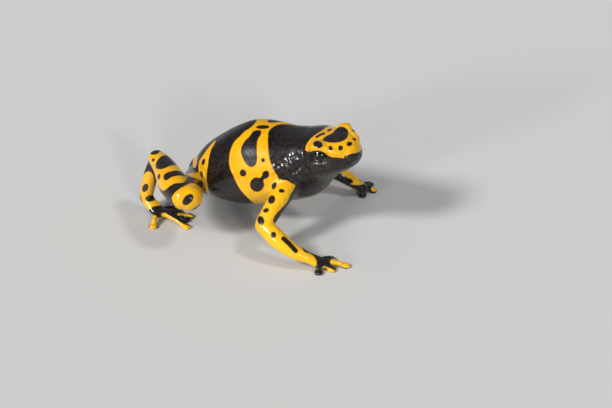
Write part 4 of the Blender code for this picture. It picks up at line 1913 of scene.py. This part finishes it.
    def fold(self, surface: Surface, visible: np.ndarray) -> None:
        """Raises the folds of the near side, and their mirror image on the far side.

        Args:
            surface: The skin, which is changed.
            visible: How much of each point the photo shows.
        """
        normals = surface.normals()
        towards = smoothstep(0.05, 0.35, normals @ self.camera.back)
        near = self.camera.pixels(surface.points)
        middle = self.frog.trunk.middle(surface.points[:, 0])
        mirrored = surface.points.copy()
        mirrored[:, 1] = 2 * middle[:, 0] - mirrored[:, 1]
        outward = normals * (1.0, -1.0, 1.0)
        beyond = smoothstep(0.05, 0.35, outward @ self.camera.back)
        beyond *= surface.points[:, 1] > middle[:, 0] + 2.0
        far = self.camera.pixels(mirrored)
        pebbled = pebbles(surface.points, self.pebble_mm)
        front = smoothstep(3.0, 9.0, surface.points[:, 0])
        height = surface.points[:, 2]
        low = smoothstep(17.5, 12.0, height) * smoothstep(5.5, 9.0, height)
        relief = self.pebble_height * pebbled * (0.25 + front * low)
        relief *= smoothstep(3.2, 5.0, height)
        for fold in (*BODY_FOLDS, *HEAD_FOLDS):
            relief += fold.relief(near, pebbled) * towards * visible
        for fold in BODY_FOLDS:
            relief += fold.relief(far, pebbled) * beyond * (1 - visible)
        surface.points += normals * relief[:, None]

    def visible(self, surface: Surface) -> np.ndarray:
        """How much of each point the photo shows, from 0 to 1.

        Args:
            surface: The skin.

        Returns:
            One share for each point.
        """
        normals = surface.normals()
        polygons = [tuple(face.vertices) for face in surface.data.polygons]
        tree = BVHTree.FromPolygons([tuple(p) for p in surface.points], polygons)
        shown = np.zeros(len(surface.points))
        for k in np.nonzero(normals @ self.camera.back > -0.05)[0]:
            start = Vector(surface.points[k] + normals[k] * 0.3)
            ray = Vector(self.camera.eye) - start
            shown[k] = tree.ray_cast(start, ray.normalized())[0] is None
        for _ in range(3):
            shown = surface.mean_of_neighbours(shown[:, None])[:, 0]
        return shown

    def weights(self, surface: Surface, groups: dict) -> dict:
        """The share with which each group colours each point.

        Args:
            surface: The skin.
            groups: The forms by the group whose markings they carry.

        Returns:
            The points' shares by the group.
        """
        far = np.full((len(groups), len(surface.points)), self.group_reach)
        for row, forms in enumerate(groups.values()):
            form = joined(forms)
            tree = form.tree()
            low = form.points.min(axis=0) - self.group_margin
            high = form.points.max(axis=0) + self.group_margin
            inside = ((surface.points > low) & (surface.points < high)).all(axis=1)
            for k in np.nonzero(inside)[0]:
                far[row, k] = tree.find_nearest(Vector(surface.points[k]))[3]
        share = np.exp(-(far - far.min(axis=0)) / self.group_blend)
        share /= share.sum(axis=0)
        return {group: share[row] for row, group in enumerate(groups)}

    def measures(
        self, surface: Surface, groups: dict, roll: np.ndarray, visible: np.ndarray
    ) -> dict:
        """What the finish reads at each point.

        Args:
            surface: The carved skin.
            groups: The forms by the group whose markings they carry.
            roll: How much of the painted highlight along the roll under the eye is at each point.
            visible: How much of each point the photo shows.

        Returns:
            One number for each point, by the name of what it says.
        """
        weights = self.weights(surface, groups)
        ahead, height = surface.points[:, 0], surface.points[:, 2]
        markings = Markings(self.frog, self.camera)
        depth = markings.depth(surface.points, surface.normals(), visible, weights)
        pale = smoothstep(15.0, 7.0, height) * 0.8
        pale += 0.2 * sum(weights["forearm", side] + weights["upper_arm", side] for side in Side)
        legs = ("thigh", "shank", "tarsus")
        pale *= 1 - 0.75 * sum(weights[name, side] for name in legs for side in Side)
        dry = weights["trunk", None] * smoothstep(10.0, 13.0, height)
        dry *= smoothstep(7.0, 5.2, ahead)
        return {
            "gold_depth": depth / np.clip(surface.slope(depth), *self.slopes),
            "paleness": pale,
            "grain": 0.55 + 0.45 * smoothstep(13.0, 8.0, height),
            "wetness": 1 - dry,
            # painted highlight along the roll under each eye
            "roll": roll,
        }

    def build(self) -> bpy.types.Object:
        """Builds, carves and dresses the skin, and sets it in the frame.

        Returns:
            The skin's object.
        """
        groups = self.frog.groups()
        skin = self.fused(groups)
        log.info("fused skin: %d points", len(skin.data.vertices))
        surface = Surface.of(skin.data)
        surface.smooth(self.even_rounds, np.ones(len(surface.points)), keep_volume=True)
        surface.smooth(self.soft_rounds, self.soft_joints(surface.points))
        # the lids' carving also gives where the painted highlight under each eye goes
        roll = self.carve_lids(surface)
        self.carve_mouth(surface)
        self.carve_spots(surface)
        visible = self.visible(surface)
        self.fold(surface, visible)
        surface.points[:, 2] = np.maximum(surface.points[:, 2], 0.0)
        for name, values in self.measures(surface, groups, roll, visible).items():
            set_values(skin.data, name, values)
        surface.points = self.frog.place(surface.points)
        surface.write()
        skin.data.shade_smooth()
        skin.data.materials.clear()
        skin.data.materials.append(self.finish.make())
        log.info("dressed skin: %.0f%% in the photo", 100 * visible.mean())
        return skin


@dataclass
class Eyeball:
    """One glossy eyeball between its lids."""

    frog: Frog
    side: Side
    cornea: float = 0.05
    cornea_width: float = 0.55
    pupil_shape: tuple = (0.82, 1.12)

    def build(self, finish: bpy.types.Material) -> bpy.types.Object:
        """Builds the eyeball with its cornea a little proud.

        Args:
            finish: The eye's material.

        Returns:
            The eyeball's object.
        """
        centre, axes = self.frog.head.eye_place(self.side)
        radius = self.frog.head.eye_radius
        form = ball(np.zeros(3), np.eye(3), (radius,) * 3, 64)
        outward = unit_rows(form.points)
        front = outward[:, 2] > 0
        to_pupil = np.linalg.norm(outward[:, :2] * self.pupil_shape, axis=1)
        bulge = self.cornea * bell(np.linalg.norm(outward[:, :2], axis=1), 0.0, self.cornea_width)
        local = outward * (radius + bulge * front)[:, None]
        placed = self.frog.place(centre + local @ axes)
        eye = mesh_object(f"eyeball_{self.side.name.lower()}", placed, form.faces)
        set_values(eye.data, "pupil_distance", np.where(front, to_pupil, 1.0))
        eye.data.shade_smooth()
        eye.data.materials.append(finish)
        return eye


@dataclass
class Studio:
    """Pale floor, soft light and the photo's camera."""

    frog: Frog
    camera: PhotoCamera
    floor_half_width: float = 6.0
    floor_colour: tuple = (0.62, 0.61, 0.59, 1.0)
    floor_roughness: float = 0.7
    world_colour: tuple = (0.80, 0.84, 0.90, 1.0)
    world_strength: float = 0.26
    # name, azimuth, elevation, angular width in degrees, strength, whether it glints
    lamps: tuple = (
        ("key", -35.0, 38.0, 11.0, 2.25, True),
        ("fill", 40.0, 22.0, 8.0, 0.7, True),
        ("top", 108.0, 60.0, 11.0, 0.7, False),
        ("low", -20.0, 14.0, 8.0, 1.05, True),
    )

    def floor(self) -> None:
        """A plain pale floor."""
        corners = [(x, y, 0) for x, y in ((-1, -1), (1, -1), (1, 1), (-1, 1))]
        corners = np.array(corners) * self.floor_half_width
        floor = mesh_object("floor", corners, [(0, 1, 2, 3)])
        finish, _, _, shader = material("pale_floor")
        set_inputs(shader, (
            ("Base Color", self.floor_colour), ("Roughness", self.floor_roughness),
        ))
        floor.data.materials.append(finish)

    def lights(self) -> None:
        """Four far soft lights and a soft room."""
        for name, azimuth, elevation, width, strength, glints in self.lamps:
            lamp = bpy.data.lights.new(name, "SUN")
            lamp.angle = math.radians(width)
            lamp.energy = strength
            towards = Vector(direction(azimuth, elevation))
            holder = linked(name, lamp)
            holder.rotation_euler = (-towards).to_track_quat("-Z", "Y").to_euler()
            holder.visible_glossy = glints
        world = bpy.data.worlds.new("room")
        world.use_nodes = True
        sky = world.node_tree.nodes["Background"]
        set_inputs(sky, (("Color", self.world_colour), ("Strength", self.world_strength)))
        bpy.context.scene.world = world

    def view(self) -> None:
        """The camera at the photo's place."""
        lens = bpy.data.cameras.new("photo_view")
        lens.sensor_width = SENSOR_MM
        lens.lens = self.camera.focal_pixels * SENSOR_MM / PHOTO_WIDTH
        lens.clip_start = 0.01
        lens.clip_end = 10.0
        eye = linked("photo_view", lens)
        turn = Matrix((self.camera.right, self.camera.up, self.camera.back)).transposed()
        eye.matrix_world = Matrix.Translation(self.frog.place(self.camera.eye)) @ turn.to_4x4()
        bpy.context.scene.camera = eye


def main() -> None:
    """Builds every piece around the frame."""
    logging.basicConfig(level=logging.INFO, format="%(name)s: %(message)s")
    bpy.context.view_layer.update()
    frog, camera = Frog(), PhotoCamera()
    skin = Skin(frog, camera).build()
    flesh = [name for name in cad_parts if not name.startswith("eye_")]
    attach(skin, "root")
    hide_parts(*flesh)
    log.info("skin: %d points for %d nodes", len(skin.data.vertices), len(flesh))
    wet = EyeFinish().make()
    for side in Side:
        eye = Eyeball(frog, side).build(wet)
        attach(eye, "root")
        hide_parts(f"eye_{side.name.lower()}")
        log.info("%s: %d points", eye.name, len(eye.data.vertices))
    studio = Studio(frog, camera)
    studio.floor()
    studio.lights()
    studio.view()
    bpy.context.scene.view_settings.view_transform = "Standard"


if __name__ == "__main__":
    main()
